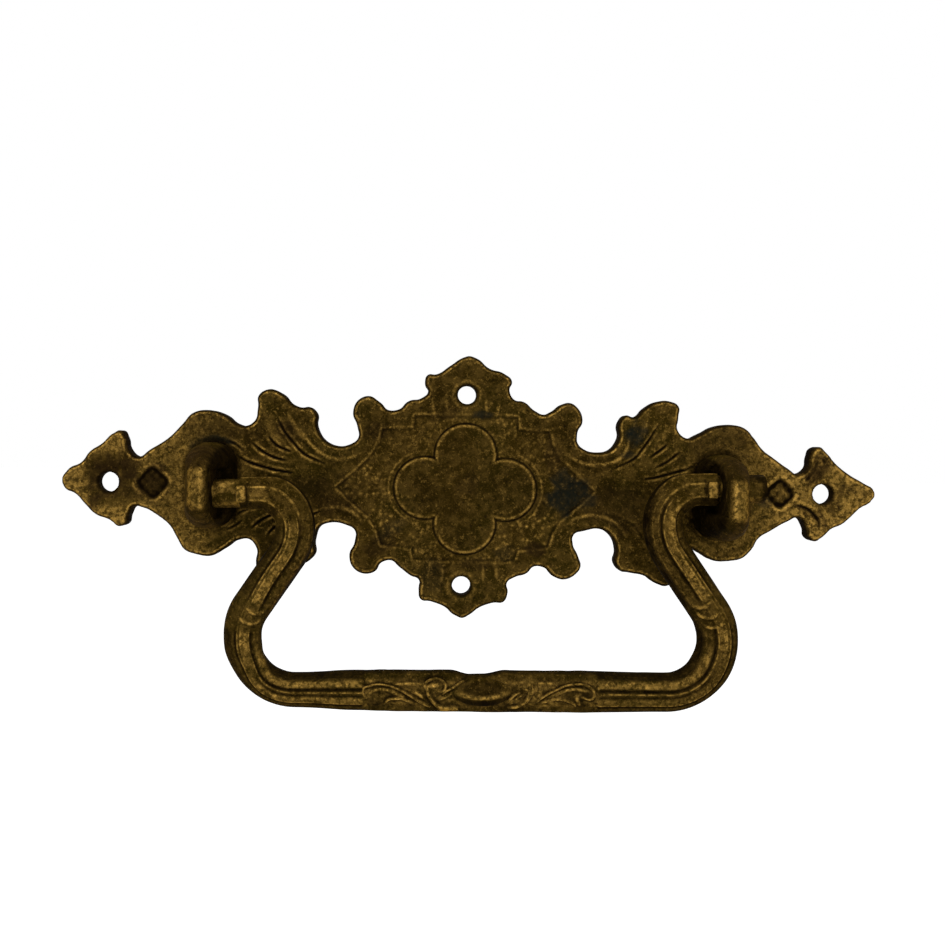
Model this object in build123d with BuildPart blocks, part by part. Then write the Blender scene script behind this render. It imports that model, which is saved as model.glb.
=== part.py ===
"""Cast brass bail pull for a drawer: a pierced, carved backplate, two upright posts and a hanging bail.

Millimetres. X runs along the plate, +Z is up, and the front of the drawer faces -Y.
The origin is the centre of the plate's flat back, on the drawer's face.
"""

import os
from math import atan2, degrees, radians, tan

from build123d import *

# Backplate
plate_thickness = 2.4
rim_bevel = 0.45
side_screw_x = 57.3
side_screw_z = 0.15
middle_screw_x = -0.15
middle_screw_z = 15.25
middle_screw_middle_z = -0.2
screw_hole_radius = 1.7
top_screw_z = middle_screw_middle_z + middle_screw_z
bottom_screw_z = middle_screw_middle_z - middle_screw_z

# Carving on the plate
field_depth = 0.4
lobe_radius = 5.0
side_lobe_x = 6.4
end_lobe_z = 5.45
carved_line_width = 0.5
carved_line_depth = 0.35
diamond_inset = 7.25
diamond_side = 3.3
diamond_depth = 0.5
diamond_boss_side = 2.1
diamond_boss_height = 0.35

# Bail, measured in its own frame, whose first axis is the line of its two pins
pin_height = 8.5
pin_line_tilt = 1.45
pin_radius = 2.2
pin_bore_clearance = 0.08
pin_reach = 5.05
shoulder_half_span = 36.05
shoulder_length = 3.1
bail_play = 2.1
bail_rest_gap = 0.25
elbow_radius = 5.0
arm_splay = 8.15
bar_drop = 30.4
bar_skew = 0.55
corner_radius = 8.0
bend_reach = 2.4
short_straight = 0.3
bail_width = 6.0
shoulder_width = 5.0
front_depth = 2.6
back_depth = 2.3
reed_groove_x = 0.95
reed_groove_depth = 0.85
outer_reed_depth = 1.0
lug_width = 1.6
lug_height = 2.6
lug_proud = 0.6
collar_ring_count = 3
collar_ring_length = 0.8
collar_ring_pitch = 1.45
collar_ring_proud = 0.12
ornament_x = 0.9
ornament_half_length = 17.7
cabochon_half_length = 4.0
cabochon_radius = 1.9
leaf_radius = 1.6
ornament_sink = 1.0

# Posts
post_inner_x = shoulder_half_span + bail_play
post_rise = 6.4
post_half_height = 6.8
post_top_thickness = 2.7
post_foot_thickness = 6.1
post_foot_lip = 1.75
post_corner_share = 0.95
post_hollow_radius = 3.7
left_post_z = 0.0
right_post_z = -0.6
post_pocket_depth = 0.9
post_pocket_clearance = 0.05
shank_offset = 2.1
shank_radius = 2.0
shank_tail_radius = 2.8
shank_tail_length = 0.8
shank_clearance = 0.05

elbow_half_span = shoulder_half_span - shoulder_length - elbow_radius
side_half_span = elbow_half_span + arm_splay
post_seat = plate_thickness - post_pocket_depth
post_x = post_inner_x + shank_offset
diamond_x = side_screw_x - diamond_inset
post_places = {"left_post": (-1, left_post_z), "right_post": (1, right_post_z)}
bail_shift = bail_play - bail_rest_gap
pin_half_span = post_inner_x + pin_reach

# Levels of a post from its foot to its top, each as shares: of its rise, of the flare of its foot,
# and of its half height
post_levels = [
    (0.0, 1.0, 1.0),
    (0.3, 0.82, 0.985),
    (0.55, 0.58, 0.9),
    (0.75, 0.34, 0.765),
    (0.9, 0.13, 0.58),
    (1.0, -0.1, 0.38),
]

# The outline, clockwise from the left tip. It is drawn for posts, end screws and middle screws at these
# places, and is stretched between them when they move.
drawn_post_x = 40.25
drawn_side_screw_x = 57.3
drawn_middle_screw_z = 15.25
left_arrow_top = [
    (-64.4, 0.3), (-63.4, 2.1), (-61.3, 3.3), (-60.0, 5.0), (-58.1, 6.3), (-56.4, 7.9), (-55.1, 8.4),
    (-54.3, 7.2), (-53.85, 5.5), (-52.7, 4.35), (-50.0, 5.7), (-47.2, 7.6),
]
left_wing_top = [
    (-45.5, 9.4), (-43.5, 11.5), (-40.9, 11.9), (-38.3, 11.1), (-36.5, 9.8), (-35.1, 9.5),
    (-33.8, 10.3), (-33.3, 12.5), (-33.2, 14.4), (-31.6, 15.4), (-29.4, 14.7), (-27.6, 13.0),
    (-26.4, 12.6), (-24.8, 12.6), (-23.95, 11.8), (-23.75, 9.5), (-22.6, 7.5), (-20.9, 6.6),
]
middle_top = [
    (-18.8, 6.7), (-17.2, 7.9), (-17.4, 9.8), (-18.1, 11.8), (-17.4, 13.8), (-15.6, 14.6),
    (-13.9, 13.7), (-12.4, 12.4), (-10.9, 12.5), (-9.2, 13.9), (-7.2, 14.4), (-6.2, 15.3),
    (-6.7, 16.8), (-6.4, 18.0), (-4.7, 18.3), (-2.6, 19.7), (-0.7, 20.95), (0.3, 21.25),
    (1.5, 20.9), (3.6, 19.3), (5.9, 18.55), (7.2, 17.4), (6.85, 15.8), (7.5, 14.5), (9.3, 14.0),
    (10.9, 12.7), (12.3, 12.1), (13.8, 12.7), (15.1, 13.7), (16.4, 14.05), (18.0, 13.0),
    (18.6, 11.2), (17.8, 9.2), (17.9, 7.6), (19.2, 6.5),
]
right_wing_top = [
    (20.9, 6.2), (23.0, 6.6), (24.3, 8.3), (24.45, 11.1), (25.2, 12.1), (27.0, 12.0), (28.5, 13.4),
    (30.2, 14.4), (32.3, 14.6), (33.9, 13.8), (33.9, 12.0), (33.8, 10.0), (35.3, 8.7), (37.3, 9.4),
    (39.6, 10.6), (42.1, 11.0), (44.6, 10.4), (46.1, 8.8),
]
right_arrow = [
    (47.3, 7.2), (49.3, 5.7), (51.3, 4.3), (53.2, 3.3), (54.6, 4.2), (54.95, 6.0), (55.5, 7.35),
    (56.5, 7.7), (57.6, 6.8), (59.2, 5.0), (61.4, 3.3), (63.7, 2.0), (65.1, 1.1), (65.4, 0.2),
    (64.8, -0.9), (63.0, -2.1), (61.6, -3.5), (60.3, -4.6), (58.6, -5.4), (57.2, -6.7), (55.9, -7.4),
    (54.95, -6.9), (54.5, -5.2), (53.4, -3.7), (51.4, -4.4), (49.0, -5.8), (47.0, -7.1),
]
right_wing_bottom = [
    (45.9, -8.9), (44.6, -10.2), (42.2, -10.8), (39.8, -10.75), (37.6, -9.6), (35.7, -8.7),
    (34.2, -9.2), (33.8, -11.0), (33.9, -13.3), (32.6, -14.9), (30.6, -14.5), (28.9, -13.4),
    (26.4, -12.9), (24.9, -12.6), (24.1, -11.5), (24.3, -9.4), (23.5, -7.2), (21.5, -6.0),
]
middle_bottom = [
    (19.4, -6.3), (17.4, -7.2), (17.4, -8.6), (18.2, -10.3), (18.65, -12.2), (17.7, -13.5),
    (15.9, -14.2), (14.3, -13.7), (12.7, -12.3), (11.4, -12.15), (9.9, -13.4), (8.2, -13.95),
    (7.0, -14.8), (7.1, -16.5), (6.6, -17.8), (4.6, -18.15), (2.6, -18.9), (1.0, -20.1), (0.0, -20.6),
    (-1.3, -20.2), (-3.1, -18.8), (-5.0, -18.1), (-6.9, -17.6), (-7.15, -16.2), (-7.1, -14.7),
    (-8.6, -13.9), (-10.2, -12.7), (-11.7, -11.6), (-13.0, -11.9), (-14.3, -13.5), (-16.0, -13.8),
    (-17.8, -12.7), (-18.3, -10.8), (-17.5, -8.8), (-17.5, -6.9), (-19.1, -6.0),
]
left_wing_bottom = [
    (-21.1, -5.7), (-23.0, -6.4), (-23.85, -8.6), (-23.9, -11.0), (-25.0, -12.1), (-27.1, -12.6),
    (-28.8, -14.2), (-31.0, -15.1), (-32.8, -14.4), (-33.2, -12.4), (-33.15, -10.0), (-34.4, -8.6),
    (-36.1, -8.8), (-38.2, -10.2), (-40.5, -11.4), (-42.6, -11.2), (-44.7, -10.4), (-45.8, -8.7),
]
left_arrow_bottom = [
    (-47.0, -6.7), (-49.1, -5.0), (-51.2, -3.9), (-52.9, -3.75), (-53.55, -4.9), (-54.1, -6.55),
    (-55.0, -6.9), (-56.7, -5.9), (-59.0, -5.0), (-60.6, -3.5), (-62.1, -1.9), (-64.0, -0.8),
]

# Carved lines of one quarter of the plate, each from end to end with how far it bows towards the
# plate's middle line: four leaf veins and the line inside the waist
leaf_lines = [
    ((30.3, 10.9), (24.5, 4.6), 0.8),
    ((31.8, 7.9), (28.2, 5.4), 0.3),
    ((34.1, 6.7), (29.3, 4.0), 0.4),
    ((36.4, 4.6), (28.0, 2.0), 0.5),
    ((26.2, 6.4), (15.9, 6.1), 2.0),
]
# Flutes beside each middle screw, measured from that screw
flutes = [((3.0, -0.6), (3.4, -3.2), 0.2), ((4.9, -1.0), (5.3, -4.0), -0.2)]

# Stepped frame around the stippled field, right half from the top to the bottom
field_frame = [
    (5.6, 11.7), (8.2, 11.6), (8.4, 9.6), (13.3, 9.4), (13.8, 7.3), (15.2, 4.9), (17.8, 2.4),
    (20.6, 0.0), (17.8, -2.6), (15.2, -4.8), (13.9, -7.0), (13.3, -9.1), (8.5, -9.6), (8.0, -11.4),
    (5.6, -11.5),
]

mirrored_frame = [(-x, z) for x, z in reversed(field_frame)]

# Scroll leaves on the bar: middle, measured from the cabochon's, and half length
bar_leaves = [(-14.2, 2.9), (-9.6, 2.9), (-5.6, 1.9), (6.2, 2.0), (10.6, 2.9), (15.0, 2.9)]


def placed(x, z):
    """A drawn point of the plate, stretched to where its posts and screws are."""
    reach = abs(x)
    if reach <= drawn_post_x:
        reach *= post_x / drawn_post_x
    elif reach <= drawn_side_screw_x:
        stretch = (side_screw_x - post_x) / (drawn_side_screw_x - drawn_post_x)
        reach = post_x + (reach - drawn_post_x) * stretch
    else:
        reach += side_screw_x - drawn_side_screw_x
    return Vector(reach if x > 0 else -reach, z * middle_screw_z / drawn_middle_screw_z)


def smooth_arcs(points):
    """Closed chain of arcs through points, each arc tangent to the next, two arcs from point to point."""
    count = len(points)
    headings = []
    for index, point in enumerate(points):
        before = point - points[index - 1]
        after = points[(index + 1) % count] - point
        heading = before.normalized() * after.length + after.normalized() * before.length
        headings.append(heading.normalized())
    for index, start in enumerate(points):
        end = points[(index + 1) % count]
        leave, arrive = headings[index], headings[(index + 1) % count]
        chord = end - start
        along = chord.dot(leave + arrive)
        spread = 2 * (1 - leave.dot(arrive))
        reach = chord.length**2 / (along + (along**2 + spread * chord.length**2) ** 0.5)
        joint = (start + end + (leave - arrive) * reach) / 2
        heading = (joint - start - leave * reach).normalized()
        yield start, joint, leave
        yield joint, end, heading


def carved_line(start, end, bow):
    """A crescent between two points, pointed at both ends, bowed towards the plate's middle line."""
    across = (end - start).normalized().rotate(Axis.Z, 90)
    if across.Y * (start.Y + end.Y) > 0:
        across = -across
    middle = (start + end) / 2
    with BuildSketch() as crescent:
        with BuildLine():
            ThreePointArc(start, middle + across * (bow + carved_line_width / 2), end)
            ThreePointArc(end, middle + across * (bow - carved_line_width / 2), start)
        make_face()
    return crescent.sketch


def post_level(side, z, flare, tallness, clearance=0.0):
    """Outline of a post at one level, in the plate's plane: its foot has a flare and tallness of 1."""
    inner = post_inner_x - post_foot_lip * flare - clearance
    outer = post_inner_x + post_top_thickness + (post_foot_thickness - post_top_thickness) * flare + clearance
    with BuildSketch() as level:
        with Locations((side * (inner + outer) / 2, z)):
            half = post_half_height * tallness + clearance
            RectangleRounded(outer - inner, 2 * half, post_corner_share * (outer - inner) / 2)
    return level.sketch


def bail_point(x, z=0.0):
    """A point of the bail's middle plane, from its own frame to the plate's."""
    along = Vector(1, 0, 0).rotate(Axis.Y, -pin_line_tilt)
    up = Vector(0, 0, 1).rotate(Axis.Y, -pin_line_tilt)
    return Vector(0, -pin_height, 0) + along * (x + bail_shift) + up * z


pin_direction = bail_point(1) - bail_point(0)
bail_plane = Plane(origin=bail_point(0), x_dir=pin_direction, z_dir=(0, -1, 0))


outline = (
    left_arrow_top
    + left_wing_top
    + middle_top
    + right_wing_top
    + right_arrow
    + right_wing_bottom
    + middle_bottom
    + left_wing_bottom
    + left_arrow_bottom
)


# Backplate: one casting, flat behind, bevelled round its whole outline and carved in front
with BuildPart() as backplate:
    with BuildSketch(Plane.XZ):
        with BuildLine():
            for start, end, heading in smooth_arcs([placed(x, z) for x, z in outline]):
                TangentArc(start, end, tangent=heading)
        make_face()
    extrude(amount=plate_thickness)
    chamfer(backplate.faces().sort_by(Axis.Y)[0].outer_wire().edges(), length=rim_bevel)
    # Stippled field, sunk inside its stepped frame, with the four-lobed panel left standing
    with BuildSketch(Plane.XZ.offset(plate_thickness)):
        with BuildLine():
            Polyline(*[placed(x, z) for x, z in field_frame + mirrored_frame], close=True)
        make_face()
        with Locations((-side_lobe_x, 0), (side_lobe_x, 0), (0, end_lobe_z), (0, -end_lobe_z)):
            Circle(lobe_radius, mode=Mode.SUBTRACT)
        Rectangle(2 * side_lobe_x, lobe_radius * 1.5, mode=Mode.SUBTRACT)
    extrude(amount=-field_depth, mode=Mode.SUBTRACT)
    # Leaf lines, waist lines and flutes
    with BuildSketch(Plane.XZ.offset(plate_thickness)):
        for side in (-1, 1):
            for half in (-1, 1):
                for (x1, z1), (x2, z2), bow in leaf_lines:
                    add(carved_line(placed(side * x1, half * z1), placed(side * x2, half * z2), bow))
                screw_z = top_screw_z if half > 0 else bottom_screw_z
                for (x1, z1), (x2, z2), bow in flutes:
                    start = Vector(middle_screw_x + side * x1, screw_z + half * z1)
                    end = Vector(middle_screw_x + side * x2, screw_z + half * z2)
                    add(carved_line(start, end, bow))
    extrude(amount=-carved_line_depth, mode=Mode.SUBTRACT)
    # Square pits with a raised boss, between each wing and its arrow end
    with BuildSketch(Plane.XZ.offset(plate_thickness)):
        with Locations((-diamond_x, side_screw_z), (diamond_x, side_screw_z)):
            Rectangle(diamond_side, diamond_side, rotation=45)
    extrude(amount=-diamond_depth, mode=Mode.SUBTRACT)
    with BuildSketch(Plane.XZ.offset(plate_thickness - diamond_depth)):
        with Locations((-diamond_x, side_screw_z), (diamond_x, side_screw_z)):
            Rectangle(diamond_boss_side, diamond_boss_side, rotation=45)
    extrude(amount=diamond_boss_height)
    # Pockets for the posts, with a hole through each that is countersunk behind
    with BuildSketch(Plane.XZ.offset(plate_thickness)):
        for side, z in post_places.values():
            add(post_level(side, z, 1, 1, post_pocket_clearance))
    extrude(amount=-post_pocket_depth, mode=Mode.SUBTRACT)
    for side, z in post_places.values():
        with BuildSketch(Plane.XZ.offset(shank_tail_length)):
            with Locations((side * post_x, z)):
                Circle(shank_radius + shank_clearance)
        extrude(amount=plate_thickness, mode=Mode.SUBTRACT)
        with BuildSketch(Plane.XZ):
            with Locations((side * post_x, z)):
                Circle(shank_tail_radius + shank_clearance)
        with BuildSketch(Plane.XZ.offset(shank_tail_length)):
            with Locations((side * post_x, z)):
                Circle(shank_radius + shank_clearance)
        loft(mode=Mode.SUBTRACT)
    # Screw holes
    with BuildSketch(Plane.XZ):
        with Locations((-side_screw_x, side_screw_z), (side_screw_x, side_screw_z)):
            Circle(screw_hole_radius)
        with Locations((middle_screw_x, top_screw_z), (middle_screw_x, bottom_screw_z)):
            Circle(screw_hole_radius)
    extrude(amount=plate_thickness, mode=Mode.SUBTRACT)


def post(side, z):
    """One post: a domed cheek on a flared foot, hollowed where the bail turns, on a riveted shank."""
    with BuildPart() as piece:
        rise = pin_height + post_rise - post_seat
        for share, flare, tallness in post_levels:
            with BuildSketch(Plane.XZ.offset(post_seat + share * rise)):
                add(post_level(side, z, flare, tallness))
        loft(ruled=True)
        # Hollow on the inner side, round the end of the bail's shoulder and open to the front
        pin_z = side * post_inner_x * tan(radians(pin_line_tilt))
        inner_face = Plane(origin=(side * post_inner_x, 0, pin_z), x_dir=(0, -1, 0), z_dir=(-side, 0, 0))
        with BuildSketch(inner_face):
            with Locations((pin_height, 0)):
                Circle(post_hollow_radius)
            with Locations((pin_height + post_rise, 0)):
                Rectangle(2 * post_rise, 2 * post_hollow_radius)
        extrude(amount=2 * post_foot_lip, mode=Mode.SUBTRACT)
        # Shank with its spread tail, flush with the back of the plate
        with BuildSketch(Plane.XZ.offset(shank_tail_length)):
            with Locations((side * post_x, z)):
                Circle(shank_radius)
        extrude(amount=post_seat - shank_tail_length)
        with BuildSketch(Plane.XZ):
            with Locations((side * post_x, z)):
                Circle(shank_tail_radius)
        with BuildSketch(Plane.XZ.offset(shank_tail_length)):
            with Locations((side * post_x, z)):
                Circle(shank_radius)
        loft()
        # Bore for the bail's pin
        with BuildSketch(Plane(origin=bail_point(0), z_dir=pin_direction)):
            Circle(pin_radius + pin_bore_clearance)
        extrude(amount=2 * pin_half_span, both=True, mode=Mode.SUBTRACT)
    return piece.part


posts = {name: post(side, z) for name, (side, z) in post_places.items()}


def bail_path():
    """Corners and bend radii of the bail's middle line, from the right shoulder to the left one."""
    knee_z = -(elbow_radius + bend_reach + short_straight)
    halves = []
    for side in (1, -1):
        bar_z = -(bar_drop + side * bar_skew)
        hip_z = bar_z + corner_radius + bend_reach + short_straight
        lean = degrees(atan2(side_half_span - elbow_half_span, knee_z - hip_z))
        bend_radius = bend_reach / tan(radians(lean / 2))
        corners = [
            (side * shoulder_half_span, 0),
            (side * elbow_half_span, 0),
            (side * elbow_half_span, knee_z),
            (side * side_half_span, hip_z),
            (side * side_half_span, bar_z),
        ]
        halves.append((corners, [elbow_radius, bend_radius, bend_radius, corner_radius]))
    (right, right_radii), (left, left_radii) = halves
    return right + left[::-1], right_radii + left_radii[::-1]


def section(width, reeded=False, proud=0.0):
    """Cross-section of the bail: round behind, and plain or with three reeds in front."""
    half = width / 2 + proud
    front = front_depth + proud
    groove = (reed_groove_x, front_depth - reed_groove_depth)
    crest = ((half + reed_groove_x) / 2, groove[1] / 2 + outer_reed_depth)
    with BuildSketch() as cut:
        with BuildLine():
            ThreePointArc((-half, 0), (0, -back_depth - proud), (half, 0))
            if reeded:
                ThreePointArc((half, 0), crest, groove)
                ThreePointArc(groove, (0, front), (-groove[0], groove[1]))
                ThreePointArc((-groove[0], groove[1]), (-crest[0], crest[1]), (-half, 0))
            else:
                ThreePointArc((half, 0), (0, front), (-half, 0))
        make_face()
    return cut.sketch


def station(edge):
    """Plane across the start of a stretch of the bail: first axis sideways, second to the front."""
    heading = edge % 0
    return Plane(origin=edge @ 0, x_dir=Vector(0, -1, 0).cross(heading), z_dir=heading)


def bar_boss(x, half_length, radius):
    """An egg-shaped boss, long along the bar and sunk into its front."""
    z = -(bar_drop + bar_skew * x / side_half_span)
    centre = bail_point(x, z) + Vector(0, ornament_sink - front_depth, 0)
    with BuildPart() as boss:
        with BuildSketch(Plane(origin=centre, x_dir=pin_direction, z_dir=(0, -1, 0))):
            Ellipse(half_length, radius)
            with Locations((0, -radius)):
                Rectangle(2 * half_length, 2 * radius, mode=Mode.SUBTRACT)
        revolve(axis=Axis(centre, pin_direction))
    return boss.part


# Middle line of the bail, cut into stretches that each keep one section
path_corners, path_radii = bail_path()
with BuildLine(bail_plane) as middle_line:
    FilletPolyline(*path_corners, radius=path_radii)
path = middle_line.edges().sort_by(middle_line.wire())
shoulders = [path[0], path[-1]]
elbows = [path[1], path[-2]]
arms = [path[4], path[-5]]
bar = path[len(path) // 2]
collar_length = collar_ring_pitch * (collar_ring_count - 1) + collar_ring_length

plain_section = section(bail_width)
reeded_section = section(bail_width, reeded=True)
collar_section = section(bail_width, proud=collar_ring_proud)
stretches = [(edge, section(shoulder_width)) for edge in shoulders]
for edge in path:
    if edge in shoulders:
        continue
    if edge in elbows:
        stretches.append((edge, plain_section))
    elif edge in arms:
        # The collar is at the lower end of the arm
        share = collar_length / edge.length
        downwards = (edge @ 1).Z < (edge @ 0).Z
        collar_start = 1 - share if downwards else 0
        reeds_start = 0 if downwards else share
        stretches.append((edge.trim(reeds_start, reeds_start + 1 - share), reeded_section))
        stretches.append((edge.trim(collar_start, collar_start + share), plain_section))
        for ring in range(collar_ring_count):
            ring_start = collar_start + ring * collar_ring_pitch / edge.length
            ring_end = ring_start + collar_ring_length / edge.length
            stretches.append((edge.trim(ring_start, ring_end), collar_section))
    elif edge is bar:
        leftwards = (edge @ 1).X < (edge @ 0).X
        middle = 0.5 + (-1 if leftwards else 1) * ornament_x / edge.length
        share = ornament_half_length / edge.length
        stretches.append((edge.trim(0, middle - share), reeded_section))
        stretches.append((edge.trim(middle - share, middle + share), plain_section))
        stretches.append((edge.trim(middle + share, 1), reeded_section))
    else:
        stretches.append((edge, reeded_section))

bosses = [bar_boss(ornament_x, cabochon_half_length, cabochon_radius)]
bosses += [bar_boss(ornament_x + x, half_length, leaf_radius) for x, half_length in bar_leaves]

# Bail: one casting with its pins, shoulders, lugs, reeded sides, collars and carved bar
with BuildPart() as bail:
    for edge, profile in stretches:
        with BuildSketch(station(edge)):
            add(profile)
        sweep(path=edge)
    for side in (-1, 1):
        # Pin beyond the shoulder
        with BuildSketch(Plane(origin=bail_point(side * shoulder_half_span), z_dir=pin_direction * side)):
            Circle(pin_radius)
        extrude(amount=pin_half_span - shoulder_half_span)
        # Small lug on the front of the shoulder
        with BuildSketch(bail_plane):
            with Locations((side * (shoulder_half_span - lug_width / 2), 0)):
                Rectangle(lug_width, lug_height)
        extrude(amount=front_depth + lug_proud)
    # Cabochon and scroll leaves along the middle of the bar
    add(bosses)

os.makedirs("parts", exist_ok=True)
backplate.part.label = "backplate"
export_step(backplate.part, "parts/backplate.step")
for name, piece in posts.items():
    piece.label = name
    export_step(piece, f"parts/{name}.step")
bail.part.label = "bail"
export_step(bail.part, "parts/bail.step")
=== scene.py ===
"""Looks of a cast brass bail pull: carved backplate, two posts and a reeded bail.

Shapes are worked out in millimetres, as the part is drawn, and turned into metres as meshes are made.
"""

import math

import bpy
import numpy as np
from mathutils import Euler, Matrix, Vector
from mathutils.geometry import tessellate_polygon


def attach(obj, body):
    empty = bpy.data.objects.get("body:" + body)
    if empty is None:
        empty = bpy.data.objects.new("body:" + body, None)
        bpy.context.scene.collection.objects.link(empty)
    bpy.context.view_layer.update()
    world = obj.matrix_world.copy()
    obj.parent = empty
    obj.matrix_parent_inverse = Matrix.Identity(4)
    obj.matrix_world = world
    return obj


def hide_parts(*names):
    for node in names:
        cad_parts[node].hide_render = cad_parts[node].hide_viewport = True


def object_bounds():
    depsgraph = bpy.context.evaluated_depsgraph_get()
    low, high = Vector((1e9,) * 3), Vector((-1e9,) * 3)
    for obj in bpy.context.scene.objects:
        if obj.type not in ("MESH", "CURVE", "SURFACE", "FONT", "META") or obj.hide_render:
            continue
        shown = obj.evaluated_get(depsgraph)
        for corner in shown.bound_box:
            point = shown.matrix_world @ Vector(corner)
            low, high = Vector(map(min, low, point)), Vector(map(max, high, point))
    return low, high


MM = 0.001

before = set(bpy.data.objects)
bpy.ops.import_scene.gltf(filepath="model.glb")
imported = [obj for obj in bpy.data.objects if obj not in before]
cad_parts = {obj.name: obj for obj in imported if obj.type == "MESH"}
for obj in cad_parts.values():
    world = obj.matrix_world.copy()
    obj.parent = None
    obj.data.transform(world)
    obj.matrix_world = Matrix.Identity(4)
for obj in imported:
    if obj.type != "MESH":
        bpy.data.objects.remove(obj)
cad_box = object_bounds()


# Sizes shared with the solids
PLATE_THICKNESS = 2.4
SIDE_SCREW = (57.3, 0.15)
TOP_SCREW = (0.08, 15.05)
BOTTOM_SCREW = (-0.35, -15.45)
SCREW_RADIUS = 1.7
POST_X = 40.25
POST_Z = {-1: 0.0, 1: -0.6}
TAIL_RADIUS = 2.85
TAIL_DEPTH = 0.8
PIN_HEIGHT = 8.5
PIN_TILT = math.radians(1.45)
PIN_RADIUS = 2.2
BAIL_SHIFT = 1.85
SHOULDER_SPAN = 36.05
DIAMOND_X = 50.05
PIN_SPAN = 43.2
POST_INNER_X = 38.15
POST_TOP = 14.9
POCKET_FLOOR = 1.5

# Outline of the plate, clockwise from its left tip
OUTLINE = [
    (-64.4, 0.3), (-63.4, 2.1), (-61.3, 3.3), (-60.0, 5.0), (-58.1, 6.3), (-56.4, 7.9), (-55.1, 8.4),
    (-54.3, 7.2), (-53.85, 5.5), (-52.7, 4.35), (-50.0, 5.7), (-47.2, 7.6),
    (-45.5, 9.4), (-43.5, 11.5), (-40.9, 11.9), (-38.3, 11.1), (-36.5, 9.8), (-35.1, 9.5),
    (-33.8, 10.3), (-33.3, 12.5), (-33.2, 14.4), (-31.6, 15.4), (-29.4, 14.7), (-27.6, 13.0),
    (-26.4, 12.6), (-24.8, 12.6), (-23.95, 11.8), (-23.75, 9.5), (-22.6, 7.5), (-20.9, 6.6),
    (-18.8, 6.7), (-17.2, 7.9), (-17.4, 9.8), (-18.1, 11.8), (-17.4, 13.8), (-15.6, 14.6),
    (-13.9, 13.7), (-12.4, 12.4), (-10.9, 12.5), (-9.2, 13.9), (-7.2, 14.4), (-6.2, 15.3),
    (-6.7, 16.8), (-6.4, 18.0), (-4.7, 18.3), (-2.6, 19.7), (-0.7, 20.95), (0.3, 21.25),
    (1.5, 20.9), (3.6, 19.3), (5.9, 18.55), (7.2, 17.4), (6.85, 15.8), (7.5, 14.5), (9.3, 14.0),
    (10.9, 12.7), (12.3, 12.1), (13.8, 12.7), (15.1, 13.7), (16.4, 14.05), (18.0, 13.0),
    (18.6, 11.2), (17.8, 9.2), (17.9, 7.6), (19.2, 6.5),
    (20.9, 6.2), (23.0, 6.6), (24.3, 8.3), (24.45, 11.1), (25.2, 12.1), (27.0, 12.0), (28.5, 13.4),
    (30.2, 14.4), (32.3, 14.6), (33.9, 13.8), (33.9, 12.0), (33.8, 10.0), (35.3, 8.7), (37.3, 9.4),
    (39.6, 10.6), (42.1, 11.0), (44.6, 10.4), (46.1, 8.8),
    (47.3, 7.2), (49.3, 5.7), (51.3, 4.3), (53.2, 3.3), (54.6, 4.2), (54.95, 6.0), (55.5, 7.35),
    (56.5, 7.7), (57.6, 6.8), (59.2, 5.0), (61.4, 3.3), (63.7, 2.0), (65.1, 1.1), (65.4, 0.2),
    (64.8, -0.9), (63.0, -2.1), (61.6, -3.5), (60.3, -4.6), (58.6, -5.4), (57.2, -6.7), (55.9, -7.4),
    (54.95, -6.9), (54.5, -5.2), (53.4, -3.7), (51.4, -4.4), (49.0, -5.8), (47.0, -7.1),
    (45.9, -8.9), (44.6, -10.2), (42.2, -10.8), (39.8, -10.75), (37.6, -9.6), (35.7, -8.7),
    (34.2, -9.2), (33.8, -11.0), (33.9, -13.3), (32.6, -14.9), (30.6, -14.5), (28.9, -13.4),
    (26.4, -12.9), (24.9, -12.6), (24.1, -11.5), (24.3, -9.4), (23.5, -7.2), (21.5, -6.0),
    (19.4, -6.3), (17.4, -7.2), (17.4, -8.6), (18.2, -10.3), (18.65, -12.2), (17.7, -13.5),
    (15.9, -14.2), (14.3, -13.7), (12.7, -12.3), (11.4, -12.15), (9.9, -13.4), (8.2, -13.95),
    (7.0, -14.8), (7.1, -16.5), (6.6, -17.8), (4.6, -18.15), (2.6, -18.9), (1.0, -20.1), (0.0, -20.6),
    (-1.3, -20.2), (-3.1, -18.8), (-5.0, -18.1), (-6.9, -17.6), (-7.15, -16.2), (-7.1, -14.7),
    (-8.6, -13.9), (-10.2, -12.7), (-11.7, -11.6), (-13.0, -11.9), (-14.3, -13.5), (-16.0, -13.8),
    (-17.8, -12.7), (-18.3, -10.8), (-17.5, -8.8), (-17.5, -6.9), (-19.1, -6.0),
    (-21.1, -5.7), (-23.0, -6.4), (-23.85, -8.6), (-23.9, -11.0), (-25.0, -12.1), (-27.1, -12.6),
    (-28.8, -14.2), (-31.0, -15.1), (-32.8, -14.4), (-33.2, -12.4), (-33.15, -10.0), (-34.4, -8.6),
    (-36.1, -8.8), (-38.2, -10.2), (-40.5, -11.4), (-42.6, -11.2), (-44.7, -10.4), (-45.8, -8.7),
    (-47.0, -6.7), (-49.1, -5.0), (-51.2, -3.9), (-52.9, -3.75), (-53.55, -4.9), (-54.1, -6.55),
    (-55.0, -6.9), (-56.7, -5.9), (-59.0, -5.0), (-60.6, -3.5), (-62.1, -1.9), (-64.0, -0.8),
]

# Stepped frame around the stippled field, right half from the top to the bottom
FIELD_FRAME = [
    (5.6, 11.7), (8.2, 11.6), (8.4, 9.6), (13.3, 9.4), (13.8, 7.3), (15.2, 4.9), (17.8, 2.4),
    (20.6, 0.0), (17.8, -2.6), (15.2, -4.8), (13.9, -7.0), (13.3, -9.1), (8.5, -9.6), (8.0, -11.4),
    (5.6, -11.5),
]

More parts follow.
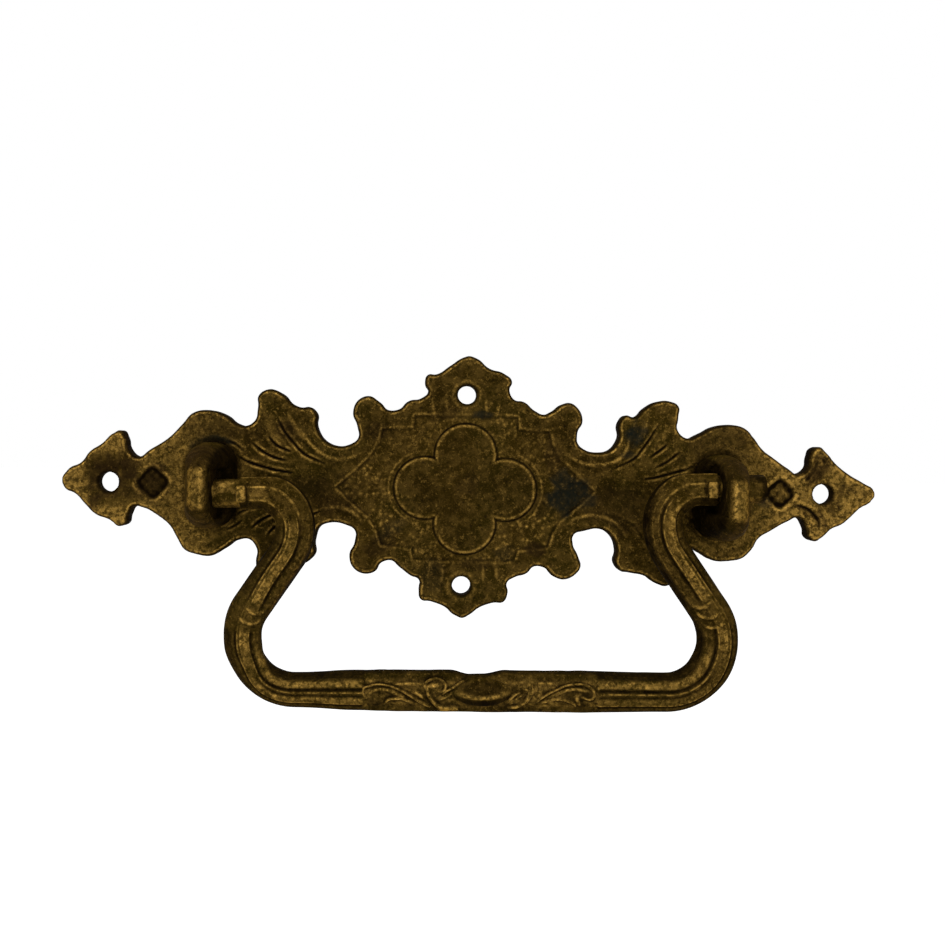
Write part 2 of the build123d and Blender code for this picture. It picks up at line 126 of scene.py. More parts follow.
# Carved leaf veins of the upper half of each wing: points, depth and width
LEFT_VEINS = [
    ([(-30.2, 11.0), (-28.9, 8.7), (-27.25, 6.7), (-25.6, 5.1), (-22.5, 3.7)], 0.3, 0.2),
    ([(-31.45, 7.9), (-30.1, 6.45), (-27.85, 5.5)], 0.32, 0.2),
    ([(-34.0, 6.8), (-32.6, 5.6), (-30.7, 4.6), (-28.6, 4.1)], 0.36, 0.21),
    ([(-36.4, 4.7), (-35.0, 3.9), (-33.3, 3.3), (-30.7, 2.6), (-27.6, 2.1)], 0.4, 0.22),
    ([(-37.9, 7.1), (-36.4, 6.3), (-35.4, 5.5)], 0.22, 0.2),
]
RIGHT_VEINS = [
    ([(30.8, 11.0), (29.7, 9.2), (28.3, 7.1), (26.7, 5.2), (23.5, 3.6)], 0.3, 0.2),
    ([(32.2, 7.8), (31.2, 6.9), (29.3, 5.5)], 0.32, 0.2),
    ([(34.25, 6.6), (33.2, 5.75), (31.8, 4.7), (30.2, 3.95)], 0.36, 0.21),
    ([(36.7, 4.5), (35.1, 3.7), (33.3, 3.2), (30.6, 2.4), (28.2, 2.0)], 0.4, 0.22),
]
# Raised lines inside the waists, and leaf ribs beside the veins
RIDGES = [
    ([(15.9, 6.1), (17.0, 5.2), (18.5, 4.5), (20.3, 4.2), (22.2, 4.3), (24.0, 4.9), (25.4, 6.2), (26.1, 8.8)],
     0.16, 0.4),
    ([(-26.3, 9.2), (-25.2, 7.3), (-23.2, 5.4), (-21.0, 4.5), (-18.6, 4.6), (-16.6, 5.6)], 0.16, 0.4),
    ([(-23.6, -3.9), (-21.5, -3.3), (-20.0, -3.3), (-18.5, -3.6), (-17.0, -4.6), (-16.4, -5.6)], 0.16, 0.4),
    ([(16.2, -5.6), (17.2, -4.6), (18.8, -4.0), (20.6, -3.8), (22.6, -4.2), (24.4, -5.2), (25.8, -7.2)],
     0.16, 0.4),
    ([(-28.6, 12.0), (-27.3, 9.6), (-25.6, 7.2)], 0.12, 0.5),
    ([(28.9, 12.0), (28.2, 9.6), (27.0, 7.4)], 0.12, 0.5),
    ([(-32.0, 10.6), (-30.6, 8.4), (-28.6, 6.4)], 0.14, 0.7),
    ([(32.4, 10.8), (31.2, 8.6), (29.4, 6.6)], 0.14, 0.7),
]
# Short cuts and one ridge on the right end
NICKS = [
    ([(54.3, 2.1), (55.4, 3.75), (56.1, 5.4)], -0.2, 0.3),
    ([(56.9, 5.9), (57.5, 5.1)], -0.16, 0.35),
    ([(52.8, -1.6), (54.95, -2.35), (56.3, -3.9), (56.5, -5.5)], -0.22, 0.3),
    ([(54.3, -3.15), (55.5, -4.9)], 0.12, 0.4),
]
# Short flutes beside the middle screws
FLUTES = [
    ([(-3.3, 14.4), (-3.0, 11.9)], 0.2, 0.32), ([(-5.5, 14.0), (-5.0, 11.4)], 0.18, 0.32),
    ([(3.1, 14.4), (3.2, 11.8)], 0.2, 0.32), ([(5.3, 14.2), (4.8, 11.5)], 0.18, 0.32),
    ([(-3.6, -15.2), (-3.3, -12.2)], 0.2, 0.32), ([(-5.8, -14.2), (-5.3, -11.6)], 0.18, 0.32),
    ([(3.2, -15.0), (3.0, -12.0)], 0.2, 0.32), ([(5.4, -14.4), (4.9, -11.4)], 0.18, 0.32),
]

# Lines raised on the bail's front, in its own frame: points, height and width. Its bar has scroll leaves
# on both sides of a cabochon, and its arms have three curved bands each.
BAIL_LINES = [
    ([(-17.2, -30.9), (-17.7, -29.9), (-17.5, -29.1), (-16.9, -28.9), (-16.0, -28.65), (-15.1, -28.6),
      (-13.9, -28.8), (-12.9, -29.15), (-11.9, -29.65), (-10.9, -30.3), (-10.15, -30.8), (-9.4, -31.35),
      (-8.5, -31.9), (-7.7, -32.3)], 0.5, 0.19),
    ([(-14.6, -31.9), (-13.9, -31.1), (-12.9, -30.95), (-11.9, -31.0), (-10.9, -31.4), (-10.2, -31.8)], 0.42, 0.19),
    ([(-16.9, -30.4), (-16.3, -29.7), (-15.1, -29.4), (-13.8, -29.6), (-12.6, -30.2), (-11.6, -30.8)], 0.3, 0.3),
    ([(-13.0, -28.6), (-10.8, -28.5), (-8.5, -28.6)], 0.4, 0.34),
    ([(-11.0, -29.5), (-9.8, -30.0), (-8.6, -30.9)], 0.3, 0.3),
    ([(-8.2, -29.6), (-8.45, -28.9), (-8.0, -28.1), (-7.0, -27.75), (-6.0, -27.95), (-5.3, -28.7), (-5.5, -29.6),
      (-6.3, -29.95), (-6.9, -29.5)], 0.5, 0.19),
    ([(-7.9, -28.9), (-8.0, -29.7), (-7.9, -30.4), (-7.5, -31.1), (-7.0, -31.8), (-6.4, -32.3), (-5.6, -32.5),
      (-3.6, -32.6)], 0.42, 0.26),
    ([(-5.8, -30.3), (-5.2, -29.8), (-4.4, -29.35), (-3.7, -28.8), (-3.05, -28.3),
      (-2.5, -28.05)], 0.38, 0.19),
    ([(-6.3, -31.2), (-5.5, -30.9), (-4.7, -30.4), (-4.3, -29.9)], 0.2, 0.2),
    ([(6.5, -29.6), (7.15, -29.75), (7.2, -30.4), (6.9, -31.1), (6.4, -31.75), (5.3, -32.4), (4.0, -32.5)], 0.4, 0.19),
    ([(7.65, -29.1), (7.8, -29.8), (7.5, -30.5), (7.0, -31.4), (6.5, -32.0)], 0.36, 0.18),
    ([(3.7, -31.9), (4.4, -31.2), (5.1, -30.5), (6.0, -30.0)], 0.25, 0.2),
    ([(4.4, -32.0), (5.0, -31.4), (5.7, -30.8), (6.3, -30.4)], 0.22, 0.18),
    ([(8.3, -28.5), (8.35, -29.8)], 0.38, 0.19),
    ([(8.6, -28.6), (10.8, -28.65)], 0.4, 0.34),
    ([(8.3, -31.75), (9.0, -31.1), (9.9, -30.45), (10.75, -29.95), (11.6, -29.55), (12.5, -29.1), (13.4, -28.9),
      (14.4, -28.8), (15.2, -28.85), (16.1, -29.15), (16.7, -29.65), (17.0, -30.4), (16.85, -31.0),
      (16.35, -31.3), (15.6, -31.15), (15.2, -30.9)], 0.5, 0.19),
    ([(9.7, -31.0), (10.9, -30.6), (12.2, -30.0), (13.6, -29.65), (14.9, -29.7), (15.7, -30.0)], 0.3, 0.3),
    ([(8.9, -31.85), (9.9, -31.55), (10.75, -31.3), (11.6, -31.25), (12.5, -31.4), (13.2, -31.65),
      (13.85, -32.0), (14.1, -32.4)], 0.42, 0.19),
    ([(14.3, -30.9), (14.4, -31.5), (14.8, -32.2)], 0.35, 0.3),
    ([(17.4, -29.2), (17.75, -30.3), (17.5, -31.3)], 0.3, 0.22),
    ([(31.2, -16.6), (32.0, -17.3), (32.79, -17.6), (33.6, -17.4), (34.4, -16.6)], 0.26, 0.24),
    ([(32.1, -18.1), (33.0, -18.9), (33.98, -19.1), (34.8, -19.0), (35.6, -18.3)], 0.26, 0.24),
    ([(33.0, -19.8), (33.9, -20.5), (34.86, -20.6), (35.7, -20.5), (36.5, -19.8)], 0.26, 0.24),
    ([(-31.2, -15.7), (-32.0, -16.3), (-32.8, -16.4), (-33.4, -16.2), (-34.1, -15.6)], 0.26, 0.24),
    ([(-32.0, -17.2), (-32.8, -17.8), (-33.56, -17.9), (-34.2, -17.8), (-35.0, -17.1)], 0.26, 0.24),
    ([(-32.8, -18.6), (-33.6, -19.3), (-34.47, -19.46), (-35.2, -19.3), (-36.1, -18.6)], 0.26, 0.24),
]


# The camera's place in the bail's own frame, its distance from the bail's middle, and the height there of the
# carved front, so that the lines of the carving lie where the photograph shows them
EYE_U, EYE_V = -7.0, 7.07
VIEW_REACH = 132.0
BAIL_FACE = 2.5

# Stains on the plate: places, half sizes, turns and strengths
BROWN_MARKS = [
    (-56.9, 0.9, 3.7, 4.3, 0, 1.0), (-53.6, 2.0, 2.8, 2.2, -20, 1.0), (-49.8, 0.2, 2.9, 2.9, 45, 0.95),
    (-51.6, -0.9, 3.4, 1.8, 10, 0.6), (-54.6, 4.6, 1.8, 1.2, 80, 0.5), (50.1, 0.2, 2.6, 2.6, 45, 0.45),
    (55.9, 3.6, 4.0, 1.7, 48, 0.95), (54.4, -2.6, 2.6, 0.6, -30, 0.9), (57.0, -4.2, 2.4, 0.6, -70, 0.8),
    (58.6, -1.2, 2.0, 1.4, -50, 0.6), (61.5, 1.0, 2.6, 1.0, 10, 0.4),
    (-40.5, 9.4, 7.0, 3.0, -10, 0.5), (40.5, 8.6, 6.5, 2.6, 10, 0.5), (-24.0, -1.0, 7.0, 3.6, 0, 0.5),
    (24.5, -2.5, 5.0, 4.0, 0, 0.5), (-28.5, 8.8, 2.2, 1.6, -30, 0.8), (11.5, -9.5, 1.8, 1.2, 0, 0.9),
    (14.2, 5.0, 1.6, 3.0, 0, 0.6), (0.2, 0.4, 2.4, 2.0, 0, 0.35), (12.0, -2.5, 2.4, 2.2, 0, 0.35),
    (-13.0, -8.8, 3.4, 1.8, 20, 0.6), (-14.4, 9.0, 2.2, 1.8, 0, 0.5), (2.5, -11.9, 3.4, 1.0, 0, 0.6),
    (-3.0, 11.9, 3.6, 0.9, 20, 0.4), (44.4, -2.4, 1.9, 1.5, 0, 0.6), (42.0, 6.8, 2.8, 1.0, -25, 0.6),
]
GREY_MARKS = [
    (16.2, -0.6, 3.6, 2.8, 40, 1.0), (18.9, -1.6, 2.4, 1.6, 0, 0.8), (15.4, 1.6, 1.8, 2.4, 0, 0.9),
    (27.2, 8.9, 2.2, 2.8, -20, 1.0), (26.2, 6.0, 1.6, 1.0, 0, 0.8), (2.9, 11.9, 2.2, 0.9, 0, 0.9),
    (-38.6, 7.1, 2.6, 0.9, -12, 1.0), (-42.3, 6.0, 2.4, 1.6, 40, 0.8), (47.6, -1.4, 1.4, 1.2, 0, 0.7),
    (-12.0, -6.6, 3.0, 1.4, 30, 0.4), (6.5, -10.2, 2.4, 1.4, 0, 0.4), (-5.0, -14.0, 2.0, 3.0, 0, 0.3),
]


# Plane geometry

def arc_points(start, end, heading):
    """Points of the arc that leaves start along heading and reaches end, without the end."""
    chord = end - start
    length = np.hypot(*chord)
    turn = math.atan2(heading[0] * chord[1] - heading[1] * chord[0], heading @ chord)
    count = max(1, math.ceil(abs(turn) * 2 / 0.1), math.ceil(length / 0.5))
    if abs(turn) < 1e-4:
        return [start + chord * k / count for k in range(count)]
    radius = length / (2 * math.sin(turn))
    left = np.array([-heading[1], heading[0]])
    angles = [2 * turn * k / count for k in range(count)]
    return [start + radius * (math.sin(a) * heading + (1 - math.cos(a)) * left) for a in angles]


def smooth_loop(points):
    """Closed chain of tangent arcs through points, two from each point to the next, as a fine polygon."""
    points = [np.array(p, float) for p in points]
    count = len(points)
    headings = []
    for i, point in enumerate(points):
        before = point - points[i - 1]
        after = points[(i + 1) % count] - point
        a, b = np.hypot(*before), np.hypot(*after)
        heading = before / a * b + after / b * a
        headings.append(heading / np.hypot(*heading))
    loop = []
    for i, start in enumerate(points):
        end = points[(i + 1) % count]
        leave, arrive = headings[i], headings[(i + 1) % count]
        chord = end - start
        along = chord @ (leave + arrive)
        spread = 2 * (1 - leave @ arrive)
        reach = chord @ chord / (along + math.sqrt(along**2 + spread * (chord @ chord)))
        joint = (start + end + (leave - arrive) * reach) / 2
        heading = joint - start - leave * reach
        loop += arc_points(start, joint, leave)
        loop += arc_points(joint, end, heading / np.hypot(*heading))
    return np.array(loop)


def smooth_line(points, count=24):
    """Smooth open curve through points, as a polyline."""
    p = np.array(points, float)
    if len(p) == 2:
        return p
    p = np.vstack([2 * p[0] - p[1], p, 2 * p[-1] - p[-2]])
    t = np.linspace(0, 1, max(3, count // (len(points) - 1)), endpoint=False)[:, None]
    parts = []
    for a, b, c, d in zip(p, p[1:], p[2:], p[3:]):
        parts.append(0.5 * (2 * b + (c - a) * t + (2 * a - 5 * b + 4 * c - d) * t**2 + (3 * b - a - 3 * c + d) * t**3))
    return np.vstack(parts + [p[-2:-1]])


def line_distance(x, z, line):
    """Distance of each place from a polyline, and how far along it the nearest point lies, from 0 to 1."""
    best = np.full(x.shape, 1e9)
    share = np.zeros(x.shape)
    lengths = np.hypot(*(line[1:] - line[:-1]).T)
    starts = np.concatenate([[0], np.cumsum(lengths)])
    for k in range(len(line) - 1):
        (ax, az), (bx, bz) = line[k], line[k + 1]
        dx, dz = bx - ax, bz - az
        t = np.clip(((x - ax) * dx + (z - az) * dz) / (dx * dx + dz * dz), 0, 1)
        d = np.hypot(x - ax - t * dx, z - az - t * dz)
        near = d < best
        best = np.where(near, d, best)
        share = np.where(near, (starts[k] + t * lengths[k]) / starts[-1], share)
    return best, share


def loop_distance(x, z, loop):
    """Signed distance from a closed polygon, positive inside."""
    best = np.full(x.shape, 1e9)
    inside = np.zeros(x.shape, bool)
    for k in range(len(loop)):
        (ax, az), (bx, bz) = loop[k - 1], loop[k]
        dx, dz = bx - ax, bz - az
        t = np.clip(((x - ax) * dx + (z - az) * dz) / (dx * dx + dz * dz + 1e-12), 0, 1)
        best = np.minimum(best, (x - ax - t * dx) ** 2 + (z - az - t * dz) ** 2)
        if az != bz:
            crosses = ((az > z) != (bz > z)) & (x < dx * (z - az) / dz + ax)
            inside ^= crosses
    return np.where(inside, 1, -1) * np.sqrt(best)


def ease(value, low, high):
    """Smooth step from 0 at low to 1 at high."""
    t = np.clip((value - low) / (high - low), 0, 1)
    return t * t * (3 - 2 * t)


def blur(field, radius):
    """Gaussian blur of a grid, with a radius in cells."""
    reach = int(3 * radius) + 1
    kernel = np.exp(-0.5 * (np.arange(-reach, reach + 1) / radius) ** 2)
    kernel /= kernel.sum()
    for axis in (0, 1):
        field = np.apply_along_axis(lambda row: np.convolve(np.pad(row, reach, "edge"), kernel, "valid"), axis, field)
    return field


def unevenness(shape, step, size, seed):
    """Smooth random field on a grid, in about -1 to 1, whose bumps are about size across."""
    noise = np.random.default_rng(seed).normal(size=shape)
    noise = blur(noise, size / step / 2.5)
    return noise / (2.2 * noise.std())


# Backplate

STEP = 0.185
grid_x = np.arange(-65.9, 66.0, STEP)
grid_z = np.arange(-21.5, 21.9, STEP)
GX, GZ = np.meshgrid(grid_x, grid_z, indexing="ij")

outline_loop = smooth_loop(OUTLINE)
holes = [(-57.05, SIDE_SCREW[1]), SIDE_SCREW, TOP_SCREW, BOTTOM_SCREW]
edge_distance = loop_distance(GX, GZ, outline_loop)


def hole_radius(x):
    """Radius of the screw hole at x: those in the middle are worn less than those at the ends."""
    return SCREW_RADIUS - (0.1 if abs(x) > 10 else 0.22)


hole_distance = np.min([np.hypot(GX - hx, GZ - hz) - hole_radius(hx) for hx, hz in holes], axis=0)
solid_distance = np.minimum(edge_distance, hole_distance)


def rounded_rise(distance, radius):
    """Rounded edge: 0 at the edge, 1 from radius inwards."""
    t = np.clip(distance / radius, 0, 1)
    return np.sqrt(np.clip(1 - (1 - t) ** 2, 0, 1))


def foot_distance(side, x, z):
    """Distance inwards from the outline of a post's foot, negative outside it."""
    half, middle = 3.92, POST_INNER_X + 2.18
    radius = 0.95 * half
    across = np.abs(x * side - middle) - (half - radius)
    up = np.abs(z - POST_Z[side]) - (6.8 - radius)
    return radius - np.hypot(np.maximum(across, 0), np.maximum(up, 0)) - np.minimum(np.maximum(across, up), 0)


def diamond_distance(side, x, z):
    """Distance outwards from the edge of a square pit, negative inside it."""
    turned = math.radians(45 - 4 * side)
    dx, dz = x - side * DIAMOND_X - (0.25 if side < 0 else 0.1), z - 0.15
    across = np.abs(dx * math.cos(turned) + dz * math.sin(turned))
    up = np.abs(-dx * math.sin(turned) + dz * math.cos(turned))
    return (across**4 + up**4) ** 0.25 - (2.15 if side < 0 else 2.0)


def plate_height(x, z, edge, hole):
    """Height of the plate's carved front above its back, without the fine grain."""
    height = np.full(x.shape, PLATE_THICKNESS)
    side = np.abs(x)

    # Field sunk inside its stepped frame, with the four-lobed panel standing in it
    height -= 0.09 * ease(field_distance, -0.12, 0.35) * ease(lobe_distance, -0.05, 0.4)
    height -= 0.15 * np.exp(-((lobe_distance / 0.17) ** 2))
    height += 0.07 * np.exp(-(((lobe_distance + 0.4) / 0.2) ** 2))
    height += 0.07 * np.exp(-(((lobe_distance - 0.85) / 0.2) ** 2)) * ease(side, 6.5, 9.0)
    lost = np.clip(0.65 + 0.5 * np.sin(x * 0.9 + 1.0) * np.cos(z * 0.7 - 0.6), 0.2, 1)
    lost = lost * (1 - 0.7 * (1 - ease(np.abs(x), 5.2, 6.4)) * ease(np.abs(z), 9.5, 10.5))
    height += 0.06 * lost * np.exp(-(((field_distance + 0.25) / 0.18) ** 2))
    height -= 0.06 * lost * np.exp(-(((field_distance - 0.1) / 0.17) ** 2))

    # Hollow necks between the waists
    neck = ease(side, 19.5, 23.5) * (1 - ease(side, 31.0, 37.0))
    height -= 0.55 * neck * np.exp(-((z / 3.0) ** 2))

    # Leaves of the wings fall towards the tips of their lobes
    wing = ease(side, 23.0, 26.0) * (1 - ease(side, 33.5, 36.0))
    height -= 0.25 * wing * ease(np.abs(z), 7.5, 15.0)

    cuts = []
    for veins, upper, lower in ((LEFT_VEINS, 0.75, 0.6), (RIGHT_VEINS, 0.42, 0.16)):
        cuts += [(points, -upper * amount, width, 1) for points, amount, width in veins]
        cuts += [(points, -lower * amount, width, -1) for points, amount, width in veins]
    cuts += [(points, amount, width, 1) for points, amount, width in RIDGES + NICKS]
    cuts += [(points, 0.5 * amount, width, 1) for points, amount, width in FLUTES]
    for points, amount, width, flip in cuts:
        line = smooth_line([(px, pz * flip) for px, pz in points])
        distance, share = line_distance(x, z, line)
        taper = np.clip(4.5 * share * (1.02 - share), 0, 1) ** 0.7
        height += amount * taper * np.exp(-((distance / (width * (0.45 + 0.55 * taper))) ** 2))
        if amount < 0:
            height -= 0.3 * amount * taper * np.exp(-(((distance - 1.9 * width) / (0.9 * width)) ** 2))

    # Seats of the posts in shallow moats
    for sx in (-1, 1):
        foot = foot_distance(sx, x, z)
        height -= 0.28 * np.exp(-((np.minimum(foot + 0.15, 0) / 0.75) ** 2))
        height -= (height - POCKET_FLOOR) * ease(foot, 0.0, 0.25)

    # Dished ends with their shallow square pits, the right one round a low lozenge
    for sx in (-1, 1):
        square = diamond_distance(sx, x, z)
        middle = np.hypot((x * sx - 57.3) / 1.1, z - 0.15)
        height -= 0.95 * np.exp(-((middle / 3.1) ** 2)) * ease(side, 51.5, 54.5)
        height -= 0.3 * (1 - ease(square, -0.4, 0.2))
        height += 0.09 * np.exp(-(((square - 0.35) / 0.25) ** 2))
        height += (0.17 if sx > 0 else 0.05) * (1 - ease(square, -1.3, -0.5))
        height += 0.04 * np.sin(x * 4.1 + sx) * np.sin(z * 3.7) * (1 - ease(square, -0.4, 0.1))

    # Bevelled, worn edges
    height -= 0.55 * (1 - rounded_rise(edge, 0.6)) ** 0.8
    height -= 0.35 * (1 - rounded_rise(hole, 0.35))
    return height


frame_loop = np.array(FIELD_FRAME + [(-px, pz) for px, pz in reversed(FIELD_FRAME)])
field_distance = loop_distance(GX, GZ, frame_loop)
lobe_distance = np.min(
    [np.hypot(GX - cx, GZ - cz) for cx, cz in ((-6.4, 0.1), (6.4, 0), (0, 5.45), (0, -5.45))], axis=0
) - 5
lobe_distance = np.minimum(lobe_distance, np.maximum(np.abs(GX) - 5.5, np.abs(GZ) - 4.6))
shape = plate_height(GX, GZ, np.maximum(edge_distance, 0), np.maximum(hole_distance, 0))
stipple = ease(field_distance, 0.0, 0.4) * ease(lobe_distance, 0.1, 0.5)
bare_shape = np.where(solid_distance > 0, shape, 0.6)
chance = np.random.default_rng(3)
beads = np.zeros(GX.shape)
for bx, bz, size in zip(chance.uniform(-19, 19, 900), chance.uniform(-11.5, 11.5, 900), chance.uniform(0.5, 1.0, 900)):
    i, k = round((bx - grid_x[0]) / STEP), round((bz - grid_z[0]) / STEP)
    part = (slice(i - 3, i + 4), slice(k - 3, k + 4))
    away = np.hypot(GX[part] - bx, GZ[part] - bz)
    beads[part] = np.maximum(beads[part], size * np.exp(-((away / 0.24) ** 2)))
crowded = np.clip(0.55 + 0.6 * unevenness(GX.shape, STEP, 5.0, 19), 0, 1)
beads *= stipple * crowded
shape += 0.12 * beads
shape += 0.06 * unevenness(GX.shape, STEP, 7.0, 5)
shape += 0.03 * unevenness(GX.shape, STEP, 1.6, 7)
shape += 0.018 * unevenness(GX.shape, STEP, 0.7, 9)
shape = np.minimum(shape, PLATE_THICKNESS + 0.25)

# How worn or painted with highlights, how dirty or painted with shade, and how browned or greyed each place is, for
# the materials
inside_shape = np.where(solid_distance > 0, shape, 0.6)
inside_shape = 0.75 * bare_shape + 0.25 * inside_shape
fine = inside_shape - blur(inside_shape, 1.3)
high = inside_shape - blur(inside_shape, 2.6)
broad = inside_shape - blur(inside_shape, 8.0)
inner = ease(edge_distance, 0.75, 1.3) * ease(hole_distance, 0.35, 0.9)
wear_highlight_map = inner * (np.clip(high / 0.12, 0, 1) * 0.6 + np.clip(fine / 0.05, 0, 1) * 0.5)
wear_highlight_map += 0.95 * beads
patchy = np.clip(0.6 + 0.6 * unevenness(GX.shape, STEP, 4.0, 13), 0.1, 1)
# Painted highlight: a thin, patchy bright line on the bevel just inside the outline, with wear of the edge
wear_highlight_map += 1.9 * patchy * ease(edge_distance, 0.32, 0.42) * (1 - ease(edge_distance, 0.5, 0.68))
tone = 0.42 * ease(GX, 44.0, 52.0) + 0.2 * ease(GX, 33.0, 42.0) + 0.55 * ease(-GX, 59.0, 61.5)
tone += 0.34 * ease(-GX, 38.0, 43.0) * (1 - ease(-GX, 51.0, 54.0))
tone += 0.6 * ease(-GX, 53.0, 54.5) * ease(np.abs(GZ - 0.6), 3.6, 4.8)
wear_highlight_map = np.clip(wear_highlight_map + tone, 0, 2)
for sx in (-1, 1):
    pit = (1 - ease(diamond_distance(sx, GX, GZ), -0.2, 0.4)) * (0.9 if sx < 0 else 0.45)
    wear_highlight_map *= 1 - pit
# Darker in the carving's hollows: dirt, with painted shade
dirt_shade_map = inner * (np.clip(-high / 0.1, 0, 1) * 0.55 + np.clip(-broad / 0.3, 0, 1) * 0.45 + np.clip(-fine / 0.04, 0, 1) * 0.6)
# Painted shade on the bevels of the outline and of the screw holes
dirt_shade_map = np.maximum(dirt_shade_map, 0.9 * (1 - ease(edge_distance, 0.22, 0.42)))
dirt_shade_map = np.maximum(dirt_shade_map, 0.9 * (1 - ease(hole_distance, 0.1, 0.5)))
dirt_shade_map = np.maximum(dirt_shade_map, 0.26 * (1 - ease(lobe_distance, -0.9, -0.4)))
dirt_shade_map = np.maximum(dirt_shade_map, 0.16 * (1 - ease(np.abs(GX), 20.0, 24.0)))
# Painted shadow round the feet of the posts, strongest on their upper and inner sides
for sx in (-1, 1):
    foot = foot_distance(sx, GX, GZ)
    corner = 0.45 + 0.55 * ease(GZ - POST_Z[sx], -2.0, 5.0)
    corner = np.maximum(corner, ease(-GX * sx, -38.5, -36.5))
    dirt_shade_map = np.maximum(dirt_shade_map, (1 - ease(-foot, 0.1, 1.0)) * corner)


def patches(marks):
    """Soft-edged stains on the plate: each a place, its half sizes, its turn and its strength."""
    stain = np.zeros(GX.shape)
    ragged = unevenness(GX.shape, STEP, 1.8, 21) * 0.35 + unevenness(GX.shape, STEP, 0.8, 23) * 0.2
    for px, pz, half_a, half_b, turn, strength in marks:
        c, s = math.cos(math.radians(turn)), math.sin(math.radians(turn))
        a = ((GX - px) * c + (GZ - pz) * s) / half_a
        b = (-(GX - px) * s + (GZ - pz) * c) / half_b
        stain = np.maximum(stain, strength * (1 - ease(np.hypot(a, b) + ragged, 0.55, 1.15)))
    return stain


brown_map = patches(BROWN_MARKS)
grey_map = patches(GREY_MARKS)


def mesh_object(name, points, faces, body, material, values=None):
    """New object from millimetre points, riding on a body, with named values at its points."""
    mesh = bpy.data.meshes.new(name)
    mesh.from_pydata([tuple(c * MM for c in p) for p in points], [], faces)
    mesh.validate()
    mesh.polygons.foreach_set("use_smooth", [True] * len(mesh.polygons))
    for key, numbers in (values or {}).items():
        layer = mesh.attributes.new(key, "FLOAT", "POINT")
        layer.data.foreach_set("value", np.asarray(numbers, dtype=np.float32))
    mesh.materials.append(material)
    piece = bpy.data.objects.new(name, mesh)
    bpy.context.scene.collection.objects.link(piece)
    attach(piece, body)
    return piece


# Worn-and-highlight, dirt-and-shade, browned and greyed amounts of the plate's rough back
BACK_MARKS = (0.1, 0.55, 0.2, 0.0)


def plate_mesh():
    """Front of the plate on a fine grid trimmed to its outline and holes, with its sides and back."""
    nx, nz = GX.shape
    number = -np.ones((nx, nz), int)
    inside = solid_distance > 0
    points, marks = [], []
    for i, k in zip(*np.nonzero(inside)):
        number[i, k] = len(points)
        points.append((grid_x[i], -shape[i, k], grid_z[k]))
        marks.append((wear_highlight_map[i, k], dirt_shade_map[i, k], brown_map[i, k], grey_map[i, k]))

    crossings = {}
    rim_height = PLATE_THICKNESS - 0.6

    def crossing(a, b):
        """The point where the outline crosses one side of a grid square."""
        key = (a, b) if a < b else (b, a)
        if key not in crossings:
            da, db = solid_distance[a], solid_distance[b]
            t = min(max(da / (da - db), 0.02), 0.98)
            x = grid_x[a[0]] + t * (grid_x[b[0]] - grid_x[a[0]])
            z = grid_z[a[1]] + t * (grid_z[b[1]] - grid_z[a[1]])
            near_hole = min(math.hypot(x - hx, z - hz) for hx, hz in holes) < SCREW_RADIUS + 0.3
            low = min(shape[a if da > 0 else b] - 0.1, PLATE_THICKNESS - 0.55) if near_hole else rim_height
            crossings[key] = len(points)
            points.append((x, -low, z))
            # Side walls fully dark, with some brown: painted shade on the sides, with stain
            marks.append((0.0, 1.0, 0.5, 0.0))
        return crossings[key]

    faces = []
    rim = {}
    full = inside[:-1, :-1] & inside[1:, :-1] & inside[1:, 1:] & inside[:-1, 1:]
    some = inside[:-1, :-1] | inside[1:, :-1] | inside[1:, 1:] | inside[:-1, 1:]
    for i, k in zip(*np.nonzero(full)):
        faces.append((number[i, k], number[i + 1, k], number[i + 1, k + 1], number[i, k + 1]))
    for i, k in zip(*np.nonzero(some & ~full)):
        corners = [(i, k), (i + 1, k), (i + 1, k + 1), (i, k + 1)]
        ring = []
        for a, b in zip(corners, corners[1:] + corners[:1]):
            if inside[a]:
                ring.append(number[a])
            if inside[a] != inside[b]:
                ring.append(("rim", crossing(a, b)))
        plain = [v[1] if isinstance(v, tuple) else v for v in ring]
        faces.append(tuple(plain))
        for a, b in zip(ring, ring[1:] + ring[:1]):
            if isinstance(a, tuple) and isinstance(b, tuple):
                rim[b[1]] = a[1]

    # Sides from the rim back to the flat back, and the back itself with the holes of the post shanks
    back = {}
    for vertex in rim:
        back[vertex] = len(points)
        x, _, z = points[vertex]
        points.append((x, 0.0, z))
        # Same painted shade and stain on the back edge of the sides
        marks.append((0.0, 1.0, 0.5, 0.0))
    for a, b in rim.items():
        faces.append((a, b, back[b], back[a]))
    loops = []
    left = set(rim)
    while left:
        loop = [left.pop()]
        while rim[loop[-1]] in left:
            loop.append(rim[loop[-1]])
            left.remove(loop[-1])
        loops.append(list(range(len(points), len(points) + len(loop))))
        points += [points[back[v]] for v in loop]
        marks += [BACK_MARKS] * len(loop)
    for side, z in POST_Z.items():
        outer, inner = [], []
        for a in np.linspace(0, 2 * math.pi, 40, endpoint=False):
            outer.append(len(points))
            points.append((side * POST_X + TAIL_RADIUS * math.cos(a), 0.0, z + TAIL_RADIUS * math.sin(a)))
            inner.append(len(points))
            points.append((side * POST_X + 2.05 * math.cos(a), -TAIL_DEPTH, z + 2.05 * math.sin(a)))
            # Painted shade on the walls of the shank holes too
            marks += [(0.0, 1.0, 0.5, 0.0), (0.0, 1.0, 0.0, 0.0)]
        for k in range(40):
            n = (k + 1) % 40
            faces.append((outer[k], inner[k], inner[n], outer[n]))
        loops.append(list(range(len(points), len(points) + len(outer))))
        points += [points[v] for v in outer]
        marks += [BACK_MARKS] * len(outer)
    loops.sort(key=len, reverse=True)
    flat = [[Vector((points[v][0], points[v][2], 0)) for v in loop] for loop in loops]
    order = [v for loop in loops for v in loop]
    for a, b, c in tessellate_polygon(flat):
        faces.append((order[a], order[b], order[c]))
    return points, faces, marks


# Bail

